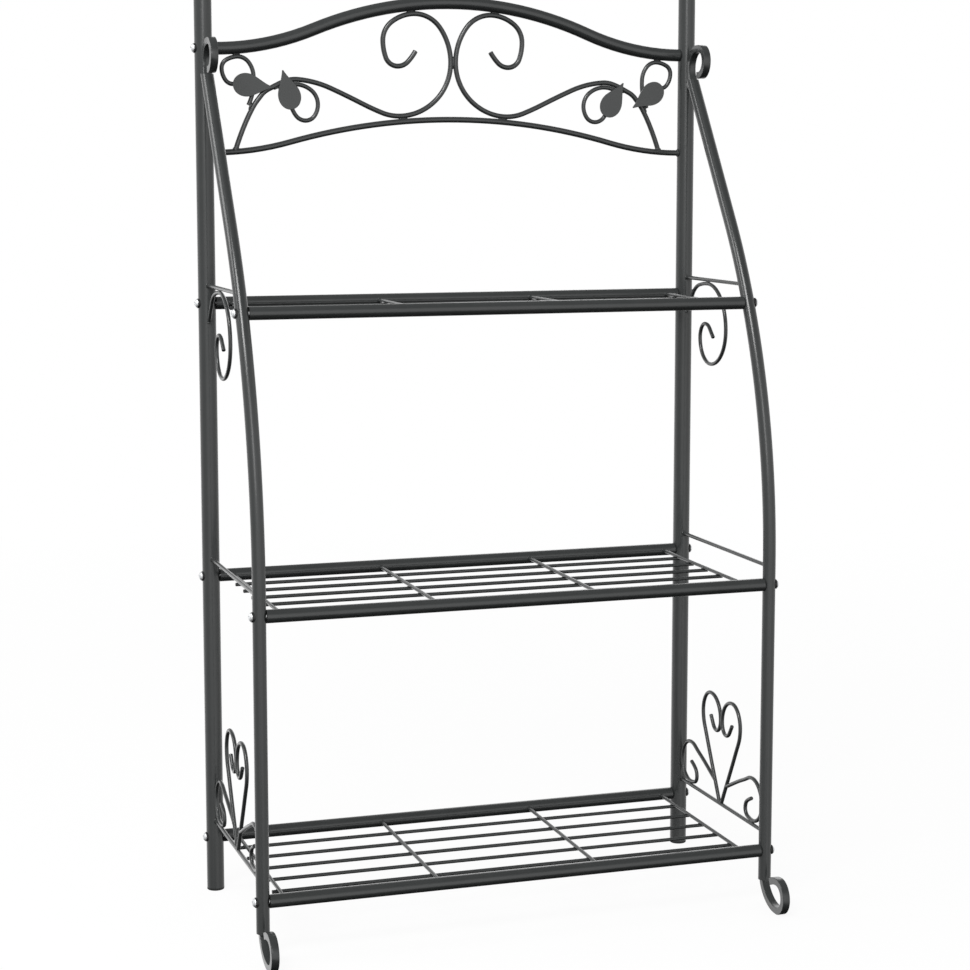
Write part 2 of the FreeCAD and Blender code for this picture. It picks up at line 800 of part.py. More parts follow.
def all_nodes():
    nodes = {}
    for side in sides:
        nodes[f"rear_post_{side}"] = rear_post(side)
        nodes[f"post_cap_{side}"] = post_cap(side)
        nodes[f"rear_foot_plug_{side}"] = rear_foot_plug(side)
        nodes[f"front_leg_{side}"] = front_leg(side)
        nodes[f"leg_top_curl_{side}"] = leg_top_curl(side)
        nodes[f"foot_curl_{side}"] = foot_curl(side)
        nodes[f"side_scroll_{side}"] = side_scroll(side)
        nodes[f"back_scroll_{side}"] = back_scroll(side)
        nodes[f"upper_curl_{side}"] = upper_curl(side)
        nodes[f"inner_curl_{side}"] = inner_curl(side)
        for end in ways:
            nodes[f"heart_{end}_half_{side}"] = heart_half(end, side)
            nodes[f"heart_{end}_curl_{side}"] = heart_curl(end, side)
        for shelf in shelf_heights:
            nodes[f"side_rod_{shelf}_{side}"] = side_rod(shelf, side)
    for shelf in shelf_heights:
        nodes[f"shelf_{shelf}_front_tube"] = shelf_front_tube(shelf)
        nodes[f"shelf_{shelf}_rear_tube"] = shelf_rear_tube(shelf)
        nodes[f"shelf_{shelf}_cross_wires"] = shelf_cross_wires(shelf)
        nodes[f"shelf_{shelf}_long_wires"] = shelf_long_wires(shelf)
    nodes["arch_rail"] = arch_rail()
    nodes["lower_arch_rod"] = lower_arch_rod()
    for name in leaf_places:
        nodes[name] = leaf(name)
    nodes["post_bolts"] = Part.makeCompound([bolt(joint) for joint in post_joints()])
    nodes["leg_bolts"] = Part.makeCompound([bolt(joint) for joint in leg_joints()])
    nodes["post_washers"] = Part.makeCompound([saddle_washer(joint) for joint in post_joints()])
    nodes["leg_washers"] = Part.makeCompound([saddle_washer(joint) for joint in leg_joints()])
    nodes["tube_inserts"] = tube_inserts()
    return nodes


os.makedirs("parts", exist_ok=True)
for node, shape in all_nodes().items():
    shape.exportStep(f"parts/{node}.step")
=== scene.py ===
from math import asin, atan2, ceil, copysign, cos, degrees, pi, radians, sin, sqrt, tan

import bmesh
import bpy
from mathutils import Matrix, Vector


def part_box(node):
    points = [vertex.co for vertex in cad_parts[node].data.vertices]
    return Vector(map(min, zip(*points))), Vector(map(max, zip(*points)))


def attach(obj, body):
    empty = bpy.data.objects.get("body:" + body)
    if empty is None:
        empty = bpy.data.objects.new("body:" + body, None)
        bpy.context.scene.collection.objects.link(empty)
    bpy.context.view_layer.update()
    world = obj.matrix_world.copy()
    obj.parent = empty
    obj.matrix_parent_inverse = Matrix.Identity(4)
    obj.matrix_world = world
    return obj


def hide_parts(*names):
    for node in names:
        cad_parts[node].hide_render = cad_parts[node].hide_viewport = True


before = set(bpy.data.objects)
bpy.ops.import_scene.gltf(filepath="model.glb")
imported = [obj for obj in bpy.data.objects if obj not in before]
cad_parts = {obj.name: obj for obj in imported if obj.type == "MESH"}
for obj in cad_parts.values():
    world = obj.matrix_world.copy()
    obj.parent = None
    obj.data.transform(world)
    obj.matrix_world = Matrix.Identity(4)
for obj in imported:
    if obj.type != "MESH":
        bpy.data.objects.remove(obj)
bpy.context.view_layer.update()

# Tiered plant stand of powder-coated tube and wire
# Sizes are in millimetres: +X is to the right, -Y to the front and +Z up from the floor

mm = 0.001
sides = {"left": -1, "right": 1}
ends = {"front": 1, "rear": -1}

stand = {
    "postSpacing": 645.0,
    "postDiameter": 22.0,
    "postWall": 1.2,
    "postFoot": 3.0,  # the tube stands on its plug
    "postTop": 1152.0,
    "legDepth": 276.0,
    "legDiameter": 16.0,
    "legWall": 1.5,
    "legFoot": 32.0,
    "legTop": 1036.0,
    "legSpare": 2.0,  # swept past the level cut at the top
    "legLean": 34.5,
    "legBend": 744.0,
    "shelves": {"bottom": 69.5, "middle": 409.0, "top": 754.0},
    "railEnd": 1068.0,
    "gap": 0.1,  # where bolted or welded pieces meet
}
halfSpacing = stand["postSpacing"] / 2
postRadius = stand["postDiameter"] / 2
legRadius = stand["legDiameter"] / 2
gap = stand["gap"]
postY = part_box("rear_post_left")[1].y / mm - postRadius
print("frame loaded:", len(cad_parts), "nodes, posts at y", round(postY, 2))


# Finishes

def hexToLinear(code):
    channels = [int(code[i:i + 2], 16) / 255 for i in (0, 2, 4)]
    return [c / 12.92 if c <= 0.04045 else ((c + 0.055) / 1.055) ** 2.4 for c in channels] + [1.0]


# A node among the inputs stands for its first output
def addNode(tree, kind, inputs=None, **settings):
    node = tree.nodes.new(kind)
    for name, value in settings.items():
        setattr(node, name, value)
    for name, value in (inputs or {}).items():
        if isinstance(value, bpy.types.Node):
            value = value.outputs[0]
        if isinstance(value, bpy.types.NodeSocket):
            tree.links.new(value, node.inputs[name])
        else:
            node.inputs[name].default_value = value
    return node


def newFinish(name):
    finish = bpy.data.materials.new(name)
    finish.use_nodes = True
    finish.node_tree.nodes.clear()
    return finish, finish.node_tree


def perMm(size):  # texture scale for a pattern of this size
    return 1 / (size * mm)


# Each look has two colours with a mottle between them, a grain, the roughness at its low and
# high spots, its bump as strength and depth, and what the shader takes as it is
# A mottle or grain is a size and a detail

# Polyester powder baked on steel: satin, faintly mottled, with an orange peel that breaks the gloss
coatLook = {
    "slot": "graphite_coat",
    "colours": ("343636", "3b3d3d"),
    "mottle": (28.0, 3.0),
    "grain": (1.6, 1.0),
    "rough": (0.2, 0.26),
    "bump": (0.35, 0.005),
    "shader": {"IOR": 1.5},
}

# The same powder on flat sheet, painted a little paler as the sheen that its flat faces catch, and
# the peel runs out longer
leafPaintedSheenLook = {
    **coatLook,
    "slot": "leaf_coat",
    "colours": ("3b3d3d", "414343"),
    "grain": (2.4, 1.0),
}

# Zinc plate on cold-formed steel: bright, with cloudy patches where the bath left it duller
zincLook = {
    "slot": "zinc_steel",
    "colours": ("dfe1e3", "f5f6f7"),
    "mottle": (2.5, 4.0),
    "grain": (2.5, 4.0),
    "rough": (0.55, 0.42),
    "shader": {"Metallic": 1.0},
}

# Moulded polypropylene: black and matt, with the grain of a spark-eroded mould
plasticLook = {
    "slot": "black_plastic",
    "colours": ("151616", "1e1f1f"),
    "mottle": (0.8, 2.0),  # coarser than it is, so that it shows
    "grain": (0.8, 2.0),
    "rough": (0.48, 0.62),
    "bump": (0.4, 0.04),
    "shader": {"IOR": 1.49},
}

# Turned mild steel with the rings that the tool leaves, painted a darker grey than the steel is, as
# shade in the gaps at the tube ends
turnedPaintedShadeLook = {
    "slot": "insert_steel",
    "colours": ("565654", "6f6f6d"),
    "ringMm": 2.5,  # coarser than it is, so that it shows
    "shader": {"Metallic": 1.0, "Roughness": 0.55},
}
grainRange = (0.3, 0.7)  # most of a noise texture's values


def makeFinish(name, look):
    finish, tree = newFinish(name)
    place = addNode(tree, "ShaderNodeTexCoord").outputs["Object"]
    if "ringMm" in look:
        scale = perMm(look["ringMm"]) * pi / 10  # at scale 1 the bands are pi / 10 apart
        mottle = addNode(tree, "ShaderNodeTexWave", {"Vector": place, "Scale": scale},
            bands_direction="X")
    else:
        size, detail = look["mottle"]
        mottle = addNode(tree, "ShaderNodeTexNoise", {
            "Vector": place, "Scale": perMm(size), "Detail": detail})
    dark, pale = (hexToLinear(code) for code in look["colours"])
    colour = addNode(tree, "ShaderNodeMix", {"Factor": mottle.outputs["Fac"], 6: dark, 7: pale},
        data_type="RGBA")
    inputs = {"Base Color": colour.outputs[2], **look["shader"]}
    if "grain" in look:
        size, detail = look["grain"]
        grain = addNode(tree, "ShaderNodeTexNoise", {
            "Vector": place, "Scale": perMm(size), "Detail": detail})
        inputs["Roughness"] = addNode(tree, "ShaderNodeMapRange", {
            "Value": grain, "From Min": grainRange[0], "From Max": grainRange[1],
            "To Min": look["rough"][0], "To Max": look["rough"][1]})
    if "bump" in look:
        strength, depth = look["bump"]
        inputs["Normal"] = addNode(tree, "ShaderNodeBump", {
            "Height": grain, "Strength": strength, "Distance": depth * mm})
    surface = addNode(tree, "ShaderNodeBsdfPrincipled", inputs)
    addNode(tree, "ShaderNodeOutputMaterial", {"Surface": surface})
    return finish


graphiteCoat = makeFinish("graphitePowderCoat", coatLook)
# The leaves' finish is the frame's powder with painted sheen: its paler colours stand in for light
leafPaintedSheenCoat = makeFinish("leafPowderCoat", leafPaintedSheenLook)
zincSteel = makeFinish("zincPlatedSteel", zincLook)
blackPlastic = makeFinish("blackPolypropylene", plasticLook)
insertSteelPaintedShade = makeFinish("turnedSteel", turnedPaintedShadeLook)


# Node trees

# Edges that turn by more than this stay crisp
sharpAngle = {"wire": 30, "bar": 15, "fastener": 35, "weld": 80, "rim": 40}


def newTree(name, sockets):
    tree = bpy.data.node_groups.new(name, "GeometryNodeTree")
    tree.interface.new_socket("Geometry", in_out="INPUT", socket_type="NodeSocketGeometry")
    for label, kind in sockets.items():
        tree.interface.new_socket(label, in_out="INPUT", socket_type="NodeSocket" + kind)
    tree.interface.new_socket("Geometry", in_out="OUTPUT", socket_type="NodeSocketGeometry")
    return tree, addNode(tree, "NodeGroupInput").outputs


# Last steps of every tree: smooth faces, sharp corners, plain mesh, finish
def closeTree(tree, geometry, finish, angle):
    smooth = addNode(tree, "GeometryNodeSetShadeSmooth", {"Geometry": geometry}, domain="FACE")
    turn = addNode(tree, "GeometryNodeInputMeshEdgeAngle")
    corner = addNode(tree, "FunctionNodeCompare", {0: turn, 1: radians(angle)},
        operation="GREATER_THAN")
    crisp = addNode(tree, "GeometryNodeSetShadeSmooth", {
        "Geometry": smooth, "Selection": corner, "Shade Smooth": False}, domain="EDGE")
    plain = addNode(tree, "GeometryNodeRealizeInstances", {"Geometry": crisp})
    coated = addNode(tree, "GeometryNodeSetMaterial", {"Geometry": plain, "Material": finish})
    addNode(tree, "NodeGroupOutput", {"Geometry": coated})
    return tree


# Skin of a profile along a drawn path, thinner where the path's girth is under 1
def sweepAlong(tree, drawn, profile, fillEnds):
    path = addNode(tree, "GeometryNodeMeshToCurve", {"Mesh": drawn})
    level = addNode(tree, "GeometryNodeSetCurveNormal", {"Curve": path}, mode="Z_UP")
    girth = addNode(tree, "GeometryNodeInputNamedAttribute", {"Name": "girth"}, data_type="FLOAT")
    return addNode(tree, "GeometryNodeCurveToMesh", {
        "Curve": level, "Profile Curve": profile, "Scale": girth, "Fill Caps": fillEnds})


# Round wire or tube
def makeWireSweep():
    tree, given = newTree("wireSweep", {
        "Diameter": "Float", "Facets": "Int", "Fill Ends": "Bool", "Finish": "Material"})
    half = addNode(tree, "ShaderNodeMath", {0: given["Diameter"], 1: 0.5}, operation="MULTIPLY")
    ring = addNode(tree, "GeometryNodeCurvePrimitiveCircle", {
        "Resolution": given["Facets"], "Radius": half})
    skin = sweepAlong(tree, given["Geometry"], ring, given["Fill Ends"])
    return closeTree(tree, skin, given["Finish"], sharpAngle["wire"])


# Square bar with eased edges
def makeBarSweep():
    tree, given = newTree("barSweep", {
        "Width": "Float", "Thickness": "Float", "Corner": "Float", "Corner Steps": "Int",
        "Finish": "Material"})
    square = addNode(tree, "GeometryNodeCurvePrimitiveQuadrilateral", {
        "Width": given["Thickness"], "Height": given["Width"]})
    eased = addNode(tree, "GeometryNodeFilletCurve", {
        "Curve": square, "Radius": given["Corner"], "Count": given["Corner Steps"]}, mode="POLY")
    skin = sweepAlong(tree, given["Geometry"], eased, True)
    return closeTree(tree, skin, given["Finish"], sharpAngle["bar"])


# One part set on every point, its Z axis along aim and its X axis along the tube
def makeJointSetter():
    tree, given = newTree("jointSetter", {"Part": "Object", "Finish": "Material"})
    aim, along = (addNode(tree, "GeometryNodeInputNamedAttribute", {"Name": name},
        data_type="FLOAT_VECTOR") for name in ("aim", "along"))
    facing = addNode(tree, "FunctionNodeAlignRotationToVector", {"Vector": aim}, axis="Z")
    turned = addNode(tree, "FunctionNodeAlignRotationToVector", {
        "Rotation": facing, "Vector": along}, axis="X", pivot_axis="Z")
    part = addNode(tree, "GeometryNodeObjectInfo", {"Object": given["Part"]})
    placed = addNode(tree, "GeometryNodeInstanceOnPoints", {
        "Points": given["Geometry"], "Instance": part.outputs["Geometry"], "Rotation": turned})
    plain = addNode(tree, "GeometryNodeRealizeInstances", {"Geometry": placed})
    return closeTree(tree, plain, given["Finish"], sharpAngle["fastener"])


weld = {
    "lump": 0.7,
    "lumpSize": 2.4,
    "collarOver": 0.3,  # from the wire's surface to the middle of the bead
    "collarBead": 0.26,  # radius of the bead as a share of the collar's
    "collarFacets": (20, 10),
    "collarBack": {"post": 0.7, "leg": 0.9, "arch": 0.4},  # from the wire's end
    "blobLevels": 3,
    "blobs": {  # half sizes, the last one along the seam
        "legTop": (4.5, 1.8, 8.0),
        "crossing": (2.3, 2.3, 1.0),
        "sideTouch": (1.9, 1.1, 5.0),
        "heartFlank": (2.7, 1.6, 3.4),
        "heartFoot": (2.6, 2.0, 6.5),
        "heartMeet": (1.9, 1.1, 6.0),
        "scrollTouch": (1.4, 2.3, 6.0),
        "scrollMeet": (1.4, 2.3, 8.0),
        "stemFoot": (2.2, 3.4, 4.4),
        "upperCurl": (1.4, 2.1, 5.0),
        "innerCurl": (1.4, 2.1, 6.0),
        "leaf": (2.2, 2.2, 4.0),
    },
    "legTopDrop": 7.0,
    "legTopRun": (0, 0.35, 1),
    "seamOut": 0.4,  # past the surface that a wire's end meets
    "flankRun": (0.4, 0.9),
    "heartFootRise": 0.6,
    "leafBack": 2.0,  # from the curl's end
}
weldCollars = []  # place, direction and radius
weldBlobs = []  # place, direction and half sizes


def addCollar(place, direction, wireRadius):
    weldCollars.append((place, Vector(direction), [wireRadius + weld["collarOver"]] * 3))


def addBlob(place, direction, kind):
    weldBlobs.append((place, Vector(direction), weld["blobs"][kind]))


# Lumpy beads of weld under the coat: a collar round a wire's end, or a blob between two wires
def makeWeldBeads():
    tree, given = newTree("weldBeads", {
        "Collars": "Bool", "Lump": "Float", "Lump Size": "Float", "Finish": "Material"})
    aim, size = (addNode(tree, "GeometryNodeInputNamedAttribute", {"Name": name},
        data_type="FLOAT_VECTOR") for name in ("aim", "size"))
    facing = addNode(tree, "FunctionNodeAlignRotationToVector", {"Vector": aim}, axis="Z")
    around, across = weld["collarFacets"]
    hoop = addNode(tree, "GeometryNodeCurvePrimitiveCircle", {"Resolution": around, "Radius": 1.0})
    bead = addNode(tree, "GeometryNodeCurvePrimitiveCircle", {
        "Resolution": across, "Radius": weld["collarBead"]})
    collar = addNode(tree, "GeometryNodeCurveToMesh", {"Curve": hoop, "Profile Curve": bead})
    blob = addNode(tree, "GeometryNodeMeshIcoSphere", {
        "Radius": 1.0, "Subdivisions": weld["blobLevels"]})
    shape = addNode(tree, "GeometryNodeSwitch", {
        "Switch": given["Collars"], "False": blob, "True": collar}, input_type="GEOMETRY")
    beads = addNode(tree, "GeometryNodeInstanceOnPoints", {
        "Points": given["Geometry"], "Instance": shape, "Rotation": facing, "Scale": size})
    plain = addNode(tree, "GeometryNodeRealizeInstances", {"Geometry": beads})
    fine = addNode(tree, "ShaderNodeMath", {0: 1.0, 1: given["Lump Size"]}, operation="DIVIDE")
    noise = addNode(tree, "ShaderNodeTexNoise", {"Scale": fine, "Detail": 1.0})
    swing = addNode(tree, "ShaderNodeMath", {0: noise, 1: 0.5}, operation="SUBTRACT")
    depth = addNode(tree, "ShaderNodeMath", {0: swing, 1: given["Lump"]}, operation="MULTIPLY")
    outward = addNode(tree, "GeometryNodeInputNormal")
    push = addNode(tree, "ShaderNodeVectorMath", {0: outward, "Scale": depth}, operation="SCALE")
    lumpy = addNode(tree, "GeometryNodeSetPosition", {"Geometry": plain, "Offset": push})
    return closeTree(tree, lumpy, given["Finish"], sharpAngle["weld"])


wireSweep = makeWireSweep()
barSweep = makeBarSweep()
jointSetter = makeJointSetter()
weldBeads = makeWeldBeads()


scene = bpy.context.scene


def newPiece(name, data):
    piece = bpy.data.objects.new(name, data)
    scene.collection.objects.link(piece)
    return piece


def newMesh(name, spots, edges, faces):
    mesh = bpy.data.meshes.new(name)
    mesh.from_pydata(spots, edges, faces)
    return mesh


# Loose points that carry vectors, for a tree to set things on
def pointsPiece(name, places, **vectors):
    points = newMesh(name, [place * mm for place in places], [], [])
    for label, rows in vectors.items():
        attribute = points.attributes.new(label, "FLOAT_VECTOR", "POINT")
        attribute.data.foreach_set("vector", [c for row in rows for c in row])
    return newPiece(name, points)


def runTree(piece, tree, values):
    modifier = piece.modifiers.new(tree.name, "NODES")
    modifier.node_group = tree
    for socket in tree.interface.items_tree:
        if socket.in_out == "INPUT" and socket.name in values:
            modifier[socket.identifier] = values[socket.name]


def makePlain(piece):
    evaluated = piece.evaluated_get(bpy.context.evaluated_depsgraph_get())
    mesh = bpy.data.meshes.new_from_object(evaluated)
    piece.modifiers.clear()
    piece.data = mesh
    for name in ("girth", "aim", "along", "size"):
        if name in mesh.attributes:
            mesh.attributes.remove(mesh.attributes[name])


def handOver(piece, finish, *nodes):
    piece.data.name = piece.name
    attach(piece, "root")
    if nodes:
        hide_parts(*nodes)


# Paths, drawn flat with u to the right and v up

drawing = {
    "arcStep": 3.0,  # degrees
    "longestStep": 14.0,
    "straight": 1e-6,  # less turn than this is a line
    "easedEnd": 0.5,
    "easedGirth": 0.84,
    "wireFacets": 18,
    "panelFacets": 20,
    "rodFacets": 24,
    "tubeFacets": 36,
    "postFacets": 44,
}


def headingOf(angle):
    return Vector((cos(radians(angle)), sin(radians(angle))))


# Points of the arc, or line, that leaves start along tangent and stops at end
def arcPoints(start, tangent, end):
    chord = end - start
    halfTurn = atan2(tangent.x * chord.y - tangent.y * chord.x, tangent.dot(chord))
    if abs(halfTurn) < drawing["straight"]:
        return [end]
    radius = chord.length / (2 * sin(halfTurn))
    length = abs(2 * halfTurn * radius)
    turns, runs = abs(degrees(2 * halfTurn)) / drawing["arcStep"], length / drawing["longestStep"]
    count = ceil(max(turns, runs))
    centre = start + Vector((-tangent.y, tangent.x)).normalized() * radius
    return [centre + Matrix.Rotation(2 * halfTurn * (i + 1) / count, 2) @ (start - centre)
        for i in range(count)]


# Two tangent arcs between two points with a heading at each
def biarcPoints(start, startAngle, end, endAngle):
    leave, arrive, chord = headingOf(startAngle), headingOf(endAngle), end - start
    spread = 2 * (1 - leave.dot(arrive))
    along = chord.dot(leave + arrive)
    if spread < drawing["straight"]:
        reach = chord.dot(chord) / (2 * along)
    else:
        reach = (sqrt(along ** 2 + spread * chord.dot(chord)) - along) / spread
    firstCorner, lastCorner = start + leave * reach, end - arrive * reach
    joint = (firstCorner + lastCorner) / 2
    return arcPoints(start, leave, joint) + arcPoints(joint, lastCorner - firstCorner, end)


def nodePath(nodes):
    points = [nodes[0][0]]
    for (start, startAngle), (end, endAngle) in zip(nodes, nodes[1:]):
        points += biarcPoints(start, startAngle, end, endAngle)
    return points


# A step is a length, or a radius and a turn to the left
def stepPath(start, angle, steps):
    points = [start]
    for step in steps:
        if len(step) == 1:
            points.append(points[-1] + headingOf(angle) * step[0])
        else:
            radius, turn = step
            quarter = copysign(90, turn)
            centre = points[-1] + headingOf(angle + quarter) * radius
            end = centre - headingOf(angle + turn + quarter) * radius
            points += arcPoints(points[-1], headingOf(angle), end)
            angle += turn
    return points


def mirrored(points):
    return [Vector((-p.x, p.y)) for p in points]


# Short taper at both ends, as a cropped and coated wire has
def easeEnds(points):
    edge = drawing["easedEnd"]
    first = points[0] + (points[1] - points[0]).normalized() * edge
    last = points[-1] + (points[-2] - points[-1]).normalized() * edge
    inner = [p for p in points[1:-1]
        if (p - points[0]).length > edge and (p - points[-1]).length > edge]
    girths = [drawing["easedGirth"], 1.0] + [1.0] * len(inner) + [1.0, drawing["easedGirth"]]
    return [points[0], first] + inner + [last, points[-1]], girths


def pathPiece(name, chains, eased):
    spots, edges, girths = [], [], []
    for chain in chains:
        points, girth = easeEnds(chain) if eased else (chain, [1.0] * len(chain))
        edges += [(len(spots) + i, len(spots) + i + 1) for i in range(len(points) - 1)]
        spots += [(p.x * mm, p.y * mm, 0) for p in points]
        girths += girth
    mesh = newMesh(name, spots, edges, [])
    mesh.attributes.new("girth", "FLOAT", "POINT").data.foreach_set("value", girths)
    return newPiece(name, mesh)


def wirePiece(name, cadNode, chains, diameter, place, facets=drawing["wireFacets"]):
    piece = pathPiece(name, chains, True)
    runTree(piece, wireSweep, {"Diameter": diameter * mm, "Facets": facets, "Fill Ends": True,
        "Finish": graphiteCoat})
    makePlain(piece)
    piece.data.transform(place)
    handOver(piece, graphiteCoat, cadNode)


# Takes off what is above this height of a drawn piece
def cutLevel(mesh, height):
    work = bmesh.new()
    work.from_mesh(mesh)
    everything = work.verts[:] + work.edges[:] + work.faces[:]
    bmesh.ops.bisect_plane(work, geom=everything, plane_co=(0, height * mm, 0), plane_no=(0, 1, 0),
        clear_outer=True)
    work.to_mesh(mesh)
    work.free()


def tubePiece(name, cadNode, points, diameter, wall, place,
        facets=drawing["tubeFacets"], cutAt=None):
    piece = pathPiece(name, [points], False)
    runTree(piece, wireSweep, {"Diameter": diameter * mm, "Facets": facets, "Fill Ends": False,
        "Finish": graphiteCoat})
    if cutAt:
        makePlain(piece)
        cutLevel(piece.data, cutAt)
    shell = piece.modifiers.new("wall", "SOLIDIFY")
    shell.thickness = wall * mm
    shell.offset = -1
    shell.use_even_offset = True
    makePlain(piece)
    # Without this the long walls shade as if they leaned
    piece.data.set_sharp_from_angle(angle=radians(sharpAngle["rim"]))
    piece.data.transform(place)
    handOver(piece, graphiteCoat, cadNode)


uprightTurn = Matrix.Rotation(radians(90), 4, "X")


# Plane across the stand at a depth: u is X and v is Z
def acrossAt(y):
    return Matrix.Translation((0, y * mm, 0)) @ uprightTurn


# Side panel: u is the distance forward of the posts and v is Z
def onSide(side):
    corner = Matrix.Translation((sides[side] * halfSpacing * mm, postY * mm, 0))
    return corner @ Matrix.Rotation(radians(-90), 4, "Z") @ uprightTurn


# Level plane at a height: u is X and v is Y
def levelAt(z):
    return Matrix.Translation((0, 0, z * mm))


def spotAcross(u, v):
    return Vector((u, postY, v))


def spotOnSide(side, u, v):
    return Vector((sides[side] * halfSpacing, postY - u, v))


# Posts and legs

lean = radians(stand["legLean"])
legTopForward = postRadius + legRadius / cos(lean) + gap
bendForward = stand["legBend"] * (1 - cos(lean))
leanRun = (stand["legDepth"] - legTopForward - bendForward) / sin(lean)
bendEnd = stand["legTop"] - leanRun * cos(lean)
bendStart = bendEnd - stand["legBend"] * sin(lean)


# Distance of the leg forward of the posts at a height, and its lean there
def legAt(height):
    if height <= bendStart:
        return stand["legDepth"], 0.0
    if height <= bendEnd:
        turned = asin((height - bendStart) / stand["legBend"])
        return stand["legDepth"] - stand["legBend"] * (1 - cos(turned)), turned
    return legTopForward + (stand["legTop"] - height) * tan(lean), lean


def rearPost(side):
    x = sides[side] * halfSpacing
    path = [Vector((x, stand["postFoot"])), Vector((x, stand["postTop"]))]
    tubePiece(f"rearPost.{side}", f"rear_post_{side}", path, stand["postDiameter"],
        stand["postWall"], acrossAt(postY), drawing["postFacets"])


def frontLeg(side):
    start = Vector((stand["legDepth"], stand["legFoot"]))
    past = legRadius * tan(lean) + stand["legSpare"]
    bend = stand["legBend"], stand["legLean"]
    path = stepPath(start, 90, [(bendStart - stand["legFoot"],), bend, (leanRun + past,)])
    tubePiece(f"frontLeg.{side}", f"front_leg_{side}", path, stand["legDiameter"],
        stand["legWall"], onSide(side), cutAt=stand["legTop"])
    seam = spotOnSide(side, postRadius, stand["legTop"] - weld["legTopDrop"])
    addBlob(seam, weld["legTopRun"], "legTop")


for side in sides:
    rearPost(side)
    frontLeg(side)
print("posts and legs")


# Curls of square bar in the leg ends

bar = {
    "width": 9.5,
    "thickness": 8.8,
    "corner": 0.8,
    "cornerSteps": 3,
    "tenon": 26.0,
    "footMouthRadius": 12.0,
    "footMouthTurn": 30.0,
    "footRun": 3.0,
    "footCurl": 18.2,
    "footReturn": (40.0, 27.0),
    "topRise": 25.0,
    "topRun": 6.5,
    "topCurl": 17.3,
    "topReturn": (26.0, 8.0),
}


def barPiece(name, points, side, cadNode):
    piece = pathPiece(f"{name}.{side}", [points], False)
    runTree(piece, barSweep, {"Width": bar["width"] * mm, "Thickness": bar["thickness"] * mm,
        "Corner": bar["corner"] * mm, "Corner Steps": bar["cornerSteps"], "Finish": graphiteCoat})
    makePlain(piece)
    piece.data.transform(onSide(side))
    handOver(piece, graphiteCoat, f"{cadNode}_{side}")


def footCurl(side):
    mouthTurn = radians(bar["footMouthTurn"])
    sweepTurn = 90 - bar["footMouthTurn"]
    mouthDrop = bar["footMouthRadius"] * sin(mouthTurn)
    drop = stand["legFoot"] - mouthDrop - bar["thickness"] / 2
    sweepRadius = drop / (1 - cos(radians(sweepTurn)))
    start = Vector((stand["legDepth"], stand["legFoot"] + bar["tenon"]))
    steps = [(bar["tenon"],), (bar["footMouthRadius"], bar["footMouthTurn"]),
        (sweepRadius, sweepTurn), (bar["footRun"],), (bar["footCurl"], 180), bar["footReturn"]]
    barPiece("footCurl", stepPath(start, -90, steps), side, "foot_curl")


def legTopCurl(side):
    angle = 90 + stand["legLean"]
    start = Vector((legTopForward, stand["legTop"])) - headingOf(angle) * bar["tenon"]
    returnRadius, returnTurn = bar["topReturn"]
    steps = [(bar["tenon"],), (bar["topRise"], -angle), (bar["topRun"],), (bar["topCurl"], -180),
        (returnRadius, -returnTurn)]
    barPiece("legTopCurl", stepPath(start, angle, steps), side, "leg_top_curl")


for side in sides:
    footCurl(side)
    legTopCurl(side)
print("bar curls")


# Shelves

shelf = {
    "tubeDiameter": 16.0,
    "tubeWall": 1.2,
    "wireDiameter": 4.5,
    "longWires": 5,
    "overhang": 7.0,
    "innerCross": 102.0,
    "endGap": 28.5,
}
tubeRadius = shelf["tubeDiameter"] / 2
crossEnd = halfSpacing - shelf["endGap"]
crossPlaces = (-crossEnd, -shelf["innerCross"], shelf["innerCross"], crossEnd)


def shelfTube(name, end):
    z = stand["shelves"][name]
    radius, y = (legRadius, postY - legAt(z)[0]) if end == "front" else (postRadius, postY)
    half = halfSpacing - radius - gap
    path = [Vector((-half, z)), Vector((half, z))]
    tubePiece(f"shelfTube.{name}.{end}", f"shelf_{name}_{end}_tube", path, shelf["tubeDiameter"],
        shelf["tubeWall"], acrossAt(y))


def shelfWires(name):
    z = stand["shelves"][name]
    depth = legAt(z)[0]
    rear, front = postY - tubeRadius - gap, postY - depth + tubeRadius + gap
    crossing = [[Vector((x, rear)), Vector((x, front))] for x in crossPlaces]
    wirePiece(f"crossWires.{name}", f"shelf_{name}_cross_wires", crossing,
        shelf["wireDiameter"], levelAt(z))
    half = crossEnd + shelf["overhang"]
    pitch = depth / (shelf["longWires"] + 1)
    rows = [postY - pitch * (i + 1) for i in range(shelf["longWires"])]
    under = z - shelf["wireDiameter"] - gap
    lengthways = [[Vector((-half, y)), Vector((half, y))] for y in rows]
    wirePiece(f"longWires.{name}", f"shelf_{name}_long_wires", lengthways,
        shelf["wireDiameter"], levelAt(under))
    for x in crossPlaces:
        for y in (rear, front):
            addCollar(Vector((x, y, z)), (0, 1, 0), shelf["wireDiameter"] / 2)
        for y in rows:
            addBlob(Vector((x, y, (z + under) / 2)), (0, 0, 1), "crossing")


for name in stand["shelves"]:
    for end in ends:
        shelfTube(name, end)
    shelfWires(name)
print("shelves")


# Side panels

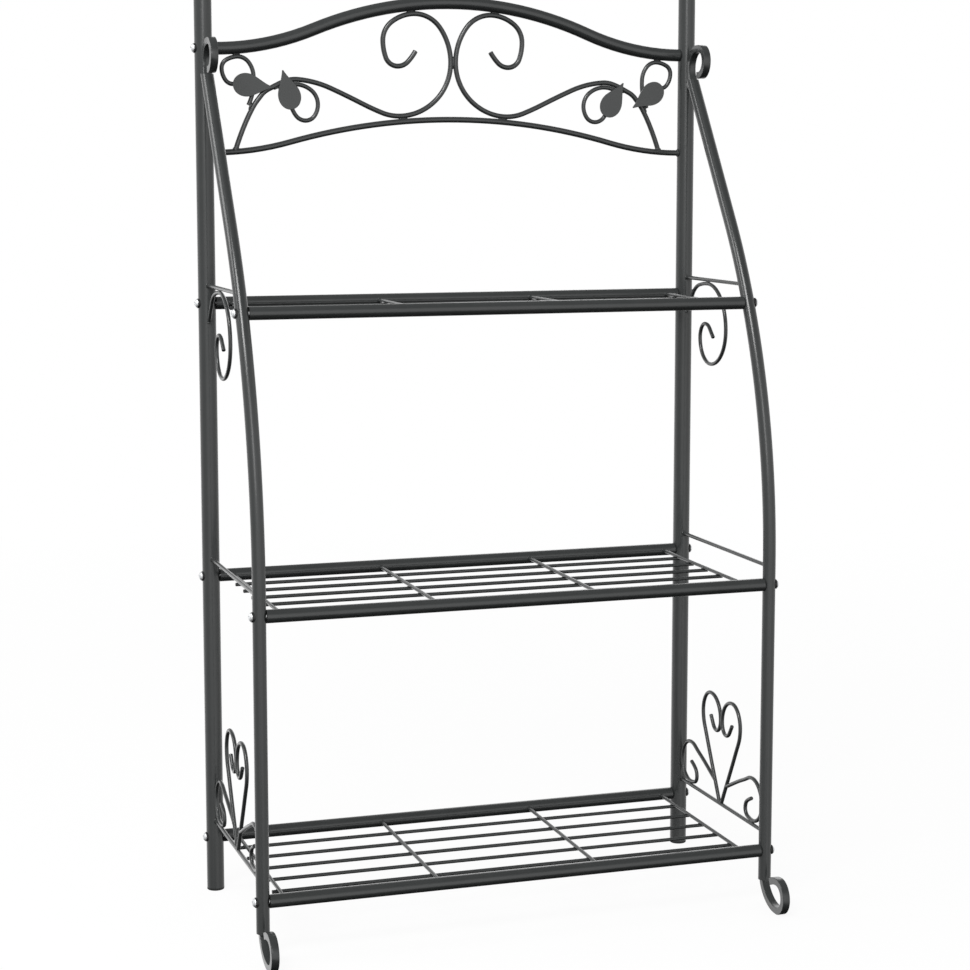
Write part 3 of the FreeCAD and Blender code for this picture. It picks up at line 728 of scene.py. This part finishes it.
sidePanel = {
    "rodDiameter": 5.0,
    "rodRise": 22.5,
    "wireDiameter": 5.0,
    "inPost": 0.5,  # how far the wires run into the post's weld
    "inLeg": 0.8,
    "drawnWidth": 257.0,  # clear width between post and leg for which the wires are drawn
    "scroll": [(0, -64, 66), (31, -20, 48), (79, None, 0), (137, -63, -90), (90, -109, -180),
        (56, -76, -270), (73, -57.5, -360), (98, -74, -402)],
    "heartFoot": 62.0,
    "heartFlank": [(43, 74, 62), (58.5, 113, 90), (33, 141.5, 180)],
    "heartMeet": 111.0,
    "heartEnd": [(15, 95, 360), (33.5, 112, 416)],
    "curlStart": 27.5,
    "curlLeave": 24.0,
    "curlRise": [(70, 50.5, 21), (97, 59.5, 0)],
    "curlSide": 31.0,
    "curlFoot": 98.0,
    "curlEnd": [(77, 16, -270), (95.5, 33, -340)],
}
rodRadius = sidePanel["rodDiameter"] / 2
sideRadius = sidePanel["wireDiameter"] / 2
sideStretch = (stand["legDepth"] - postRadius - legRadius) / sidePanel["drawnWidth"]
heartMiddle = (stand["legDepth"] + postRadius - legRadius) / 2


def rodHeight(name):
    return stand["shelves"][name] + sidePanel["rodRise"]


def sideRod(name, side):
    z = rodHeight(name)
    forward, turned = legAt(z)
    rear = postRadius - sidePanel["inPost"]
    front = forward - legRadius / cos(turned) + sidePanel["inLeg"]
    path = [Vector((rear, z)), Vector((front, z))]
    wirePiece(f"sideRod.{name}.{side}", f"side_rod_{name}_{side}", [path],
        sidePanel["rodDiameter"], onSide(side))
    for u in (rear + weld["collarBack"]["post"], front - weld["collarBack"]["leg"]):
        addCollar(spotOnSide(side, u, z), (0, 1, 0), rodRadius)


# Drops the points before u, and starts the path there
def startingAt(points, u):
    kept = [p for p in points if p.x > u]
    before = points[len(points) - len(kept) - 1]
    share = (u - before.x) / (kept[0].x - before.x)
    return [before.lerp(kept[0], share)] + kept


def sideScroll(side):
    rod = rodHeight("top")
    underRod = -rodRadius - sideRadius - gap
    nodes = [(Vector((u * sideStretch, rod + (underRod if up is None else up))), angle)
        for u, up, angle in sidePanel["scroll"]]
    path = startingAt(nodePath(nodes), postRadius - sidePanel["inPost"])
    wirePiece(f"sideScroll.{side}", f"side_scroll_{side}", [path],
        sidePanel["wireDiameter"], onSide(side))
    tail = (path[1] - path[0]).normalized()
    back = weld["collarBack"]["post"]
    mouth = spotOnSide(side, path[0].x + back, path[0].y + back)
    addCollar(mouth, (0, -tail.x, tail.y), sideRadius)
    addBlob(spotOnSide(side, nodes[2][0].x, rod - rodRadius), (0, 1, 0), "sideTouch")


def heartNode(out, up, angle, way):
    place = Vector((heartMiddle + way * out, rodHeight("bottom") + up))
    return place, angle if way > 0 else 180 - angle


def heartRun(drawn, way):
    return [heartNode(out * sideStretch, up, angle, way) for out, up, angle in sidePanel[drawn]]


def heartNodes(way):
    touch = sideRadius + gap / 2
    foot = heartNode(touch, 0, sidePanel["heartFoot"], way)
    meet = heartNode(touch, sidePanel["heartMeet"], 270, way)
    return [foot] + heartRun("heartFlank", way) + [meet] + heartRun("heartEnd", way)


def heartHalf(end, side):
    wirePiece(f"heartHalf.{end}.{side}", f"heart_{end}_half_{side}",
        [nodePath(heartNodes(ends[end]))], sidePanel["wireDiameter"], onSide(side))


def heartCurl(end, side):
    way = ends[end]
    rod = rodHeight("bottom")
    onRod = rodRadius + sideRadius + gap
    upright = stand["legDepth"] - legRadius if end == "front" else postRadius
    reach = abs(upright - heartMiddle) - sideRadius - gap
    foot, flankTop = [node[0] for node in heartNodes(way)[:2]]
    start = foot.lerp(flankTop, sidePanel["curlStart"] / (flankTop.y - foot.y))
    leave = sidePanel["curlLeave"] if way > 0 else 180 - sidePanel["curlLeave"]
    outside = heartNode(reach, sidePanel["curlSide"], -90, way)
    bottom = heartNode(sidePanel["curlFoot"] * sideStretch, onRod, -180, way)
    rise, inside = heartRun("curlRise", way), heartRun("curlEnd", way)
    nodes = [(start, leave)] + rise + [outside, bottom] + inside
    wirePiece(f"heartCurl.{end}.{side}", f"heart_{end}_curl_{side}", [nodePath(nodes)],
        sidePanel["wireDiameter"], onSide(side))
    addBlob(spotOnSide(side, upright, rod + sidePanel["curlSide"]), (0, 0, 1), "sideTouch")
    addBlob(spotOnSide(side, bottom[0].x, rod + rodRadius), (0, 1, 0), "sideTouch")
    aside = start + headingOf(leave) * (sideRadius + weld["seamOut"])
    across, up = weld["flankRun"]
    addBlob(spotOnSide(side, aside.x, aside.y), (0, -way * across, up), "heartFlank")


for side in sides:
    for name in stand["shelves"]:
        sideRod(name, side)
    sideScroll(side)
    for end in ends:
        heartHalf(end, side)
        heartCurl(end, side)
    rod = rodHeight("bottom")
    foot = rod + rodRadius + weld["heartFootRise"]
    addBlob(spotOnSide(side, heartMiddle, foot), (0, 1, 0), "heartFoot")
    addBlob(spotOnSide(side, heartMiddle, rod + sidePanel["heartMeet"]), (0, 0, 1), "heartMeet")
print("side panels")


# Back panel

backPanel = {
    "railDiameter": 16.0,
    "railWall": 1.2,
    "rail": (stand["railEnd"], 61.5, 480.0),  # end height, rise and crest radius
    "rodDiameter": 7.5,
    "rod": (940.5, 42.0, 808.0),
    "wireDiameter": 6.5,
    "curlWireDiameter": 5.6,
    "drawnHalfWidth": 311.5,
    "stem": [(284.5, 0, 108), (261.5, 0.407, 119), (250, 0.517, 129), (231, 0.582, 152),
        (204, 0.58, 184), (121, 0.205, 206)],
    "rodTouch": 66.7,
    "railTouch": 57.0,
    "meetShare": 0.49,
    "scrollEnd": [(93, 0.725, -90), (75, 0.486, -176), (50, 0.6, -240)],
    "upperLeave": 117.0,
    "upperCurl": [(260, 0.72, 86), (300, 0.81, -90), (283, 0.655, -195)],
    "upperTouch": 282.0,
    "innerCurl": [(178, 0.285, 270), (194, 0.165, 360), (213, 0.36, 436)],
}
archRun = halfSpacing - postRadius - gap
stretch = archRun / backPanel["drawnHalfWidth"]
railRadius = backPanel["railDiameter"] / 2
archRodRadius = backPanel["rodDiameter"] / 2
wireRadius = backPanel["wireDiameter"] / 2
curlRadius = backPanel["curlWireDiameter"] / 2


# Radius of an arch's outer bends, and the slope in degrees where they meet its crest
def archBends(arch):
    rise, crest = arch[1:]
    outer = (archRun ** 2 + rise ** 2) / (2 * rise) - crest
    return outer, 2 * degrees(atan2(rise, archRun))


# Height of an arch at x, and its slope there in degrees
def archAt(x, arch):
    endHeight, rise, crest = arch
    outer, turn = archBends(arch)
    if abs(x) <= crest * sin(radians(turn)):
        height = endHeight + rise - crest + sqrt(crest ** 2 - x ** 2)
        return height, -degrees(asin(x / crest))
    inward = archRun - abs(x)
    slope = degrees(asin(inward / outer))
    return endHeight + outer - sqrt(outer ** 2 - inward ** 2), -copysign(slope, x)


def archPath(arch):
    endHeight, rise, crest = arch
    outer, turn = archBends(arch)
    steps = [(outer, turn), (crest, -2 * turn), (outer, turn)]
    return stepPath(Vector((-archRun, endHeight)), 0, steps)


def archRail():
    tubePiece("archRail", "arch_rail", archPath(backPanel["rail"]), backPanel["railDiameter"],
        backPanel["railWall"], acrossAt(postY))


def lowerArchRod():
    wirePiece("lowerArchRod", "lower_arch_rod", [archPath(backPanel["rod"])],
        backPanel["rodDiameter"], acrossAt(postY), drawing["rodFacets"])
    end = archRun - weld["collarBack"]["arch"]
    for way in sides.values():
        addCollar(spotAcross(way * end, backPanel["rod"][0]), (1, 0, 0), archRodRadius)


# Point at a drawn distance from the middle, at a share of the way from rod to rail
def panelPoint(drawnX, share):
    x = drawnX * stretch
    low = archAt(x, backPanel["rod"])[0]
    return Vector((x, low + share * (archAt(x, backPanel["rail"])[0] - low)))


def panelNodes(drawn):
    return [(panelPoint(x, share), angle) for x, share, angle in drawn]


def underRail(drawnX, radius):
    height, slope = archAt(drawnX * stretch, backPanel["rail"])
    away = headingOf(slope + 90) * (railRadius + radius + gap)
    return Vector((drawnX * stretch, height)) - away, slope


def onArchRod(drawnX, radius):
    height, slope = archAt(drawnX * stretch, backPanel["rod"])
    away = headingOf(slope + 90) * (archRodRadius + radius + gap)
    return Vector((drawnX * stretch, height)) + away, slope + 180


# Where a scroll lies on the rod, on the other scroll and under the rail
def scrollTouches():
    meet = Vector((wireRadius + gap / 2, panelPoint(0, backPanel["meetShare"]).y)), 90
    below = onArchRod(backPanel["rodTouch"], wireRadius)
    return [below, meet, underRail(backPanel["railTouch"], wireRadius)]


def scrollNodes():
    stem, end = panelNodes(backPanel["stem"]), panelNodes(backPanel["scrollEnd"])
    return stem + scrollTouches() + end


# Node of a small curl that lies beside the stem
def beside(node, way):
    point, angle = node
    return point + headingOf(angle + 90 * way) * (wireRadius + curlRadius + gap), angle


def upperCurlNodes():
    start = beside(scrollNodes()[1], -1)[0]
    rise, *rest = panelNodes(backPanel["upperCurl"])
    touch = underRail(backPanel["upperTouch"], curlRadius)
    return [(start, backPanel["upperLeave"]), rise, touch] + rest


def innerCurlNodes():
    stem, crest = scrollNodes()[3:5]
    return [beside(stem, 1), beside(crest, 1)] + panelNodes(backPanel["innerCurl"])


def panelWire(name, nodes, diameter, side, cadNode):
    path = nodePath(nodes)
    wirePiece(f"{name}.{side}", f"{cadNode}_{side}", [path if sides[side] > 0 else mirrored(path)],
        diameter, acrossAt(postY), drawing["panelFacets"])


# Blob off to the left of a wire's heading by this distance
def panelWeld(node, off, kind, way):
    point, angle = node
    place = point + headingOf(angle + 90) * off
    run = headingOf(angle)
    addBlob(spotAcross(way * place.x, place.y), (way * run.x, 0, run.y), kind)


archRail()
lowerArchRod()
onRod, meeting, atRail = scrollTouches()
stemFoot, stemHeading = scrollNodes()[0]
stemSeam = stemFoot + headingOf(stemHeading) * (archRodRadius + weld["seamOut"])
for side, way in sides.items():
    panelWire("backScroll", scrollNodes(), backPanel["wireDiameter"], side, "back_scroll")
    panelWire("upperCurl", upperCurlNodes(), backPanel["curlWireDiameter"], side, "upper_curl")
    panelWire("innerCurl", innerCurlNodes(), backPanel["curlWireDiameter"], side, "inner_curl")
    panelWeld(onRod, wireRadius, "scrollTouch", way)
    panelWeld(atRail, wireRadius, "scrollTouch", way)
    panelWeld(upperCurlNodes()[2], curlRadius, "upperCurl", way)
    panelWeld(upperCurlNodes()[0], curlRadius, "upperCurl", way)
    panelWeld(innerCurlNodes()[0], -curlRadius, "innerCurl", way)
    panelWeld((stemSeam, 0), 0, "stemFoot", way)
panelWeld((Vector((0, meeting[0].y)), 90), 0, "scrollMeet", 1)
print("back panel")


# Leaves cut from sheet, in front of the wires that carry them

leaf = {
    "length": 49.0,
    "width": 29.0,
    "thickness": 2.0,
    "tipRadius": 1.0,
    "tipSteps": 6,
    "belly": 0.33,
    "neck": 0.76,
    "neckWidth": 0.44,
    "neckTurn": -30.0,
    "tipTurn": -20.0,
    "easedEdge": 0.45,
    "edgeSteps": 3,
    "edgeAngle": 60.0,
    "places": {  # round end: distance from the middle, share of the height, and the tip's heading
        ("upper", "left"): (287, 0.658, 185),
        ("upper", "right"): (287, 0.673, 214),
        ("inner", "left"): (211, 0.308, 75),
        ("inner", "right"): (206, 0.251, 59),
    },
}


def leafOutline():
    half, length, tip = leaf["width"] / 2, leaf["length"], leaf["tipRadius"]
    nodes = [(Vector((0, 0)), 90), (Vector((length * leaf["belly"], half)), 0),
        (Vector((length * leaf["neck"], half * leaf["neckWidth"])), leaf["neckTurn"]),
        (Vector((length, tip)), leaf["tipTurn"])]
    upper = nodePath(nodes)
    turns = [90 - 180 * i / leaf["tipSteps"] for i in range(1, leaf["tipSteps"])]
    nose = [Vector((length, 0)) + headingOf(turn) * tip for turn in turns]
    lower = [Vector((p.x, -p.y)) for p in reversed(upper[1:])]
    return upper + nose + lower


def leafPlate(kind, side):
    drawnX, share, angle = leaf["places"][kind, side]
    turn = Matrix.Rotation(radians(angle), 2)
    outline = [panelPoint(drawnX, share) + turn @ p for p in leafOutline()]
    if sides[side] < 0:
        outline = mirrored(outline)[::-1]
    back, front = wireRadius + gap, wireRadius + gap + leaf["thickness"]
    count = len(outline)
    spots = [(p.x * mm, p.y * mm, z * mm) for z in (back, front) for p in outline]
    faces = [list(range(count)), list(reversed(range(count, 2 * count)))]
    for i in range(count):
        j = (i + 1) % count
        faces.append([j, i, count + i, count + j])
    mesh = newMesh(f"{kind}Leaf.{side}", spots, [], faces)
    # The leaf takes the coat whose paler colour is painted sheen
    mesh.materials.append(leafPaintedSheenCoat)
    mesh.transform(acrossAt(postY))
    mesh.shade_smooth()
    plate = newPiece(mesh.name, mesh)
    edge = plate.modifiers.new("easedEdge", "BEVEL")
    edge.width = leaf["easedEdge"] * mm
    edge.segments = leaf["edgeSteps"]
    edge.limit_method = "ANGLE"
    edge.angle_limit = radians(leaf["edgeAngle"])
    plate.modifiers.new("flatFaces", "WEIGHTED_NORMAL")  # flat up to the eased edges
    makePlain(plate)
    handOver(plate, leafPaintedSheenCoat, f"{kind}_leaf_{side}")


# Tack where the curl ends behind its leaf
def leafTack(kind, side):
    end, angle = (upperCurlNodes() if kind == "upper" else innerCurlNodes())[-1]
    way, run = sides[side], headingOf(angle)
    spot = end - run * weld["leafBack"]
    behind = spotAcross(way * spot.x, spot.y) + Vector((0, -curlRadius, 0))
    addBlob(behind, (way * run.x, 0, run.y), "leaf")


for kind, side in leaf["places"]:
    leafPlate(kind, side)
    leafTack(kind, side)
print("leaves")


# Turned and moulded parts, spun about Z from spots of radius and height
# A spot that changes on its way round is a function of the angle

def spunMesh(name, profile, steps, closed=False):
    spots, rows, faces = [], [], []
    for spot in profile:
        if not callable(spot) and spot[0] == 0:
            rows.append([len(spots)] * steps)
            spots.append((0, 0, spot[1] * mm))
            continue
        rows.append(list(range(len(spots), len(spots) + steps)))
        for i in range(steps):
            around = 2 * pi * i / steps
            r, h = spot(around) if callable(spot) else spot
            spots.append((r * cos(around) * mm, r * sin(around) * mm, h * mm))
    for lower, upper in zip(rows, rows[1:] + (rows[:1] if closed else [])):
        for i in range(steps):
            j = (i + 1) % steps
            faces.append(list(dict.fromkeys([lower[i], lower[j], upper[j], upper[i]])))
    mesh = newMesh(name, spots, [], faces)
    mesh.shade_smooth()
    mesh.set_sharp_from_angle(angle=radians(sharpAngle["fastener"]))
    return mesh


# Radius of the ball that a dome of this rim radius and height is cut from
def ballRadius(rim, height):
    return (rim ** 2 + height ** 2) / (2 * height)


plug = {
    "flange": 3.0,
    "edge": 1.0,
    "edgeSteps": 6,
    "length": 16.0,
    "clearance": 0.2,
    "dome": 6.0,
    "domeSteps": 12,
    "lip": 0.3,
    "lipInset": 0.35,
    "steps": 48,
}
spigot = postRadius - stand["postWall"] - plug["clearance"]


def plugPiece(name, profile, side, z, cadNode):
    mesh = spunMesh(f"{name}.{side}", profile, plug["steps"])
    mesh.transform(Matrix.Translation((sides[side] * halfSpacing * mm, postY * mm, z * mm)))
    mesh.materials.append(blackPlastic)
    handOver(newPiece(mesh.name, mesh), blackPlastic, f"{cadNode}_{side}")


def postCap(side):
    rise = plug["dome"] - plug["lip"]
    ball = ballRadius(postRadius, rise)
    widest, count = asin(min(1.0, postRadius / ball)), plug["domeSteps"]
    profile = [(0, -plug["length"]), (spigot, -plug["length"]), (spigot, 0),
        (postRadius - plug["lipInset"], 0)]
    for i in range(count):
        turn = widest * (1 - i / count)
        height = plug["lip"] + rise - ball + ball * cos(turn)
        profile.append((ball * sin(turn), height))
    profile.append((0, plug["dome"]))
    plugPiece("postCap", profile, side, stand["postTop"], "post_cap")


def rearFootPlug(side):
    edge, flange, count = plug["edge"], plug["flange"], plug["edgeSteps"]
    profile = [(0, 0)]
    for i in range(count + 1):
        turn = radians(90 * i / count)
        profile.append((postRadius - edge + edge * sin(turn), edge - edge * cos(turn)))
    top = flange + plug["length"]
    profile += [(postRadius, flange), (spigot, flange), (spigot, top), (0, top)]
    plugPiece("rearFootPlug", profile, side, 0, "rear_foot_plug")


for side in sides:
    postCap(side)
    rearFootPlug(side)
print("caps and plugs")


# Bolts and saddle washers

fastener = {
    "shank": 6.0,
    "shankChamfer": 0.6,
    "headDiameter": 11.5,
    "headHeight": 3.5,
    "headRim": 0.01,
    "headRings": 9,
    "socketWidth": 4.0,
    "socketDepth": 2.0,
    "socketEdge": 0.2,
    "socketCone": 0.2,
    "washerDiameter": 12.0,
    "washerHole": 6.5,
    "crown": 1.2,
    "insert": 12.0,
    "steps": 36,
}


def socketRadius(around):
    corner = pi / 3
    return fastener["socketWidth"] / 2 / cos((around + corner / 2) % corner - corner / 2)


def boltMesh(name, tube):
    shank, chamfer = fastener["shank"] / 2, fastener["shankChamfer"]
    deep = 2 * tube + fastener["crown"] + 2 * gap + fastener["insert"]
    head, rise = fastener["headDiameter"] / 2, fastener["headHeight"]
    ball, edge = ballRadius(head, rise), fastener["socketEdge"]
    floor = rise - fastener["socketDepth"]

    def domeHeight(radius):
        return rise - ball + sqrt(max(0.0, ball ** 2 - radius ** 2))

    def domeRing(share):  # round at the rim, and more of a hexagon towards the socket
        def spot(around):
            reach = head + (socketRadius(around) + edge - head) * share
            return reach, domeHeight(reach)
        return spot

    def socketLip(around):
        return socketRadius(around), domeHeight(socketRadius(around)) - edge

    def socketFloor(around):
        return socketRadius(around), floor

    count = fastener["headRings"]
    profile = [(0, -deep), (shank - chamfer, -deep), (shank, -deep + chamfer), (shank, 0),
        (head, 0), (head, fastener["headRim"])]
    profile += [domeRing((i + 1) / count) for i in range(count)]
    profile += [socketLip, socketFloor, (0, floor - fastener["socketCone"])]
    return spunMesh(name, profile, fastener["steps"])


def washerMesh(name, tube):
    outer, hole = fastener["washerDiameter"] / 2, fastener["washerHole"] / 2
    seat = tube + gap

    def saddle(radius):
        def spot(around):
            hug = sqrt(seat ** 2 - (radius * sin(around)) ** 2)
            return radius, hug - tube - fastener["crown"] - gap
        return spot

    profile = [(hole, -gap), saddle(hole), saddle((hole + outer) / 2), saddle(outer), (outer, -gap)]
    return spunMesh(name, profile, fastener["steps"], closed=True)


# Puts a part on the seat of every bolt head, facing outward and turned along the tube
def setOnJoints(name, kind, tube, mesh, finish, cadNode):
    heights = list(stand["shelves"].values()) + ([stand["railEnd"]] if kind == "post" else [])
    x = halfSpacing + tube + fastener["crown"] + gap
    places, aims, alongs = [], [], []
    for way in sides.values():
        for z in heights:
            forward, turned = legAt(z) if kind == "leg" else (0.0, 0.0)
            places.append(Vector((way * x, postY - forward, z)))
            aims.append((way, 0, 0))
            alongs.append((0, sin(turned), cos(turned)))
    part = bpy.data.objects.new(name + "Part", mesh)
    piece = pointsPiece(name, places, aim=aims, along=alongs)
    runTree(piece, jointSetter, {"Part": part, "Finish": finish})
    makePlain(piece)
    bpy.data.objects.remove(part)
    handOver(piece, finish, cadNode)


for kind, tube in (("post", postRadius), ("leg", legRadius)):
    bolt, washer = boltMesh(f"{kind}Bolt", tube), washerMesh(f"{kind}Washer", tube)
    setOnJoints(f"{kind}Bolts", kind, tube, bolt, zincSteel, f"{kind}_bolts")
    setOnJoints(f"{kind}Washers", kind, tube, washer, blackPlastic, f"{kind}_washers")
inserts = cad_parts["tube_inserts"]
# The inserts take the dark turned steel, whose darkness is painted shade for the gaps at the tube
# ends
inserts.data.materials.clear()
inserts.data.materials.append(insertSteelPaintedShade)
print("bolts and washers")


# Welds under the coat

def weldPiece(name, welds, collars):
    places, directions, sizes = zip(*welds)
    piece = pointsPiece(name, places, aim=directions, size=[Vector(size) * mm for size in sizes])
    runTree(piece, weldBeads, {"Collars": collars, "Lump": weld["lump"] * mm,
        "Lump Size": weld["lumpSize"] * mm, "Finish": graphiteCoat})
    makePlain(piece)
    handOver(piece, graphiteCoat)


weldPiece("weldCollars", weldCollars, True)
weldPiece("weldBlobs", weldBlobs, False)
print("welds:", len(weldCollars), "collars,", len(weldBlobs), "blobs")


# Studio, in metres

studio = {
    "floorSize": 40.0,
    "floorColour": "f2f2f2",
    "floorBounce": "404040",  # what the floor gives back as light
    "floorWhite": (0.91, 1.0),  # how white the camera sees it, under the stand and far off
    "floorFade": (0.8, 3.0),  # distances between which it whitens
    "ambient": 0.56,
    "lowShine": (-0.72, -0.28, 0.03, 1.0),  # the gloss sees dark below the first height, then white
    "highShine": (0.3, 0.7, 1.0, 0.15),  # and grey above the second
    "screens": {  # heading, height, half widths of fade and core in degrees, strength in the gloss
        "front": (-4.0, -6.0, 48.0, 20.0, 1.35),
        "left": (-70.0, 0.0, 42.0, 15.0, 0.62),
        "back": (-161.0, -19.0, 28.0, 12.0, 1.5),
        "dark floor": (-20.0, -56.0, 40.5, 37.0, 0.05),
    },
    "lamps": {  # place, width and height, power in watts
        "key": ((-2.4, -2.95, 4.1), 2.0, 1.8, 155.0),
        "front": ((-1.15, -3.6, 1.9), 1.5, 1.4, 20.0),
        "side": ((-2.5, 0.3, 2.5), 1.2, 1.2, 25.0),
        "rim": ((1.6, 3.2, 2.0), 1.2, 2.4, 10.0),
    },
    "lookAt": (0.0, 0.0, 0.6),
}


# 1 for what the camera sees, also through glass, and 0 for the light itself
def seenDirectly(tree):
    rays = addNode(tree, "ShaderNodeLightPath").outputs
    return addNode(tree, "ShaderNodeMath", {
        0: rays["Is Camera Ray"], 1: rays["Is Transmission Ray"]}, operation="MAXIMUM")


def makeFloor():
    finish, tree = newFinish("paleFloor")
    place = addNode(tree, "ShaderNodeTexCoord").outputs["Object"]
    away = addNode(tree, "ShaderNodeVectorMath", {0: place}, operation="LENGTH")
    (near, far), (dull, white) = studio["floorFade"], studio["floorWhite"]
    fade = addNode(tree, "ShaderNodeMapRange", {
        "Value": away.outputs["Value"], "From Min": near, "From Max": far, "To Min": dull,
        "To Max": white})
    paper = addNode(tree, "ShaderNodeBsdfDiffuse", {"Color": hexToLinear(studio["floorColour"])})
    glow = addNode(tree, "ShaderNodeEmission", {"Strength": 1.0})
    seen = addNode(tree, "ShaderNodeMixShader", {0: fade, 1: paper, 2: glow})
    bounce = addNode(tree, "ShaderNodeBsdfDiffuse", {"Color": hexToLinear(studio["floorBounce"])})
    both = addNode(tree, "ShaderNodeMixShader", {0: seenDirectly(tree), 1: bounce, 2: seen})
    addNode(tree, "ShaderNodeOutputMaterial", {"Surface": both})
    half = studio["floorSize"] / 2
    corners = [(-half, -half, 0), (half, -half, 0), (half, half, 0), (-half, half, 0)]
    mesh = newMesh("floor", corners, [], [[0, 1, 2, 3]])
    mesh.materials.append(finish)
    floor = newPiece("floor", mesh)
    floor.visible_glossy = False  # the gloss shows the studio instead


def makeWorld():
    world = bpy.data.worlds.new("studio")
    world.use_nodes = True
    tree = world.node_tree
    tree.nodes.clear()
    toward = addNode(tree, "ShaderNodeTexCoord").outputs["Generated"]
    height = addNode(tree, "ShaderNodeSeparateXYZ", {0: toward}).outputs["Z"]
    below, above = (addNode(tree, "ShaderNodeMapRange", {
        "Value": height, "From Min": start, "From Max": stop, "To Min": low, "To Max": high})
        for start, stop, low, high in (studio["lowShine"], studio["highShine"]))
    shine = addNode(tree, "ShaderNodeMath", {0: below, 1: above}, operation="MINIMUM")
    for *angles, strength in studio["screens"].values():
        heading, rise, fade, core = (radians(angle) for angle in angles)
        level = cos(rise)
        middle = (sin(heading) * level, -cos(heading) * level, sin(rise))
        facing = addNode(tree, "ShaderNodeVectorMath", {0: toward, 1: middle},
            operation="DOT_PRODUCT")
        screen = addNode(tree, "ShaderNodeMapRange", {
            "Value": facing.outputs["Value"], "From Min": cos(fade), "From Max": cos(core),
            "To Min": 1.0, "To Max": strength})
        shine = addNode(tree, "ShaderNodeMath", {0: shine, 1: screen}, operation="MULTIPLY")
    glossy = addNode(tree, "ShaderNodeLightPath").outputs["Is Glossy Ray"]
    unseen = addNode(tree, "ShaderNodeMapRange", {
        "Value": glossy, "To Min": studio["ambient"], "To Max": shine})
    light = addNode(tree, "ShaderNodeMapRange", {
        "Value": seenDirectly(tree), "To Min": unseen, "To Max": 1.0})
    sky = addNode(tree, "ShaderNodeBackground", {"Color": (1, 1, 1, 1), "Strength": light})
    addNode(tree, "ShaderNodeOutputWorld", {"Surface": sky})
    scene.world = world


def makeLamps():
    for name, (place, width, height, power) in studio["lamps"].items():
        data = bpy.data.lights.new(name, "AREA")
        data.shape = "RECTANGLE"
        data.size = width
        data.size_y = height
        data.energy = power
        lamp = newPiece(name, data)
        lamp.location = place
        aim = Vector(studio["lookAt"]) - Vector(place)
        lamp.rotation_euler = aim.to_track_quat("-Z", "Y").to_euler()


makeFloor()
makeWorld()
makeLamps()
scene.view_settings.view_transform = "Standard"
print("studio:", ", ".join(studio["lamps"]))


# Camera

view = {
    "place": (-884.1, -2635.7, 932.2),
    "turn": 18.314,
    "tilt": 7.075,
    "lens": 84.34,
    "sensor": 36.0,
    "shift": -0.045,
    "farthest": 100.0,  # metres
}
lens = bpy.data.cameras.new("camera")
lens.sensor_width = view["sensor"]
lens.lens = view["lens"]
lens.shift_y = view["shift"]
lens.clip_end = view["farthest"]
camera = newPiece("camera", lens)
camera.location = Vector(view["place"]) * mm
camera.rotation_euler = (radians(90 - view["tilt"]), 0, radians(-view["turn"]))
scene.camera = camera
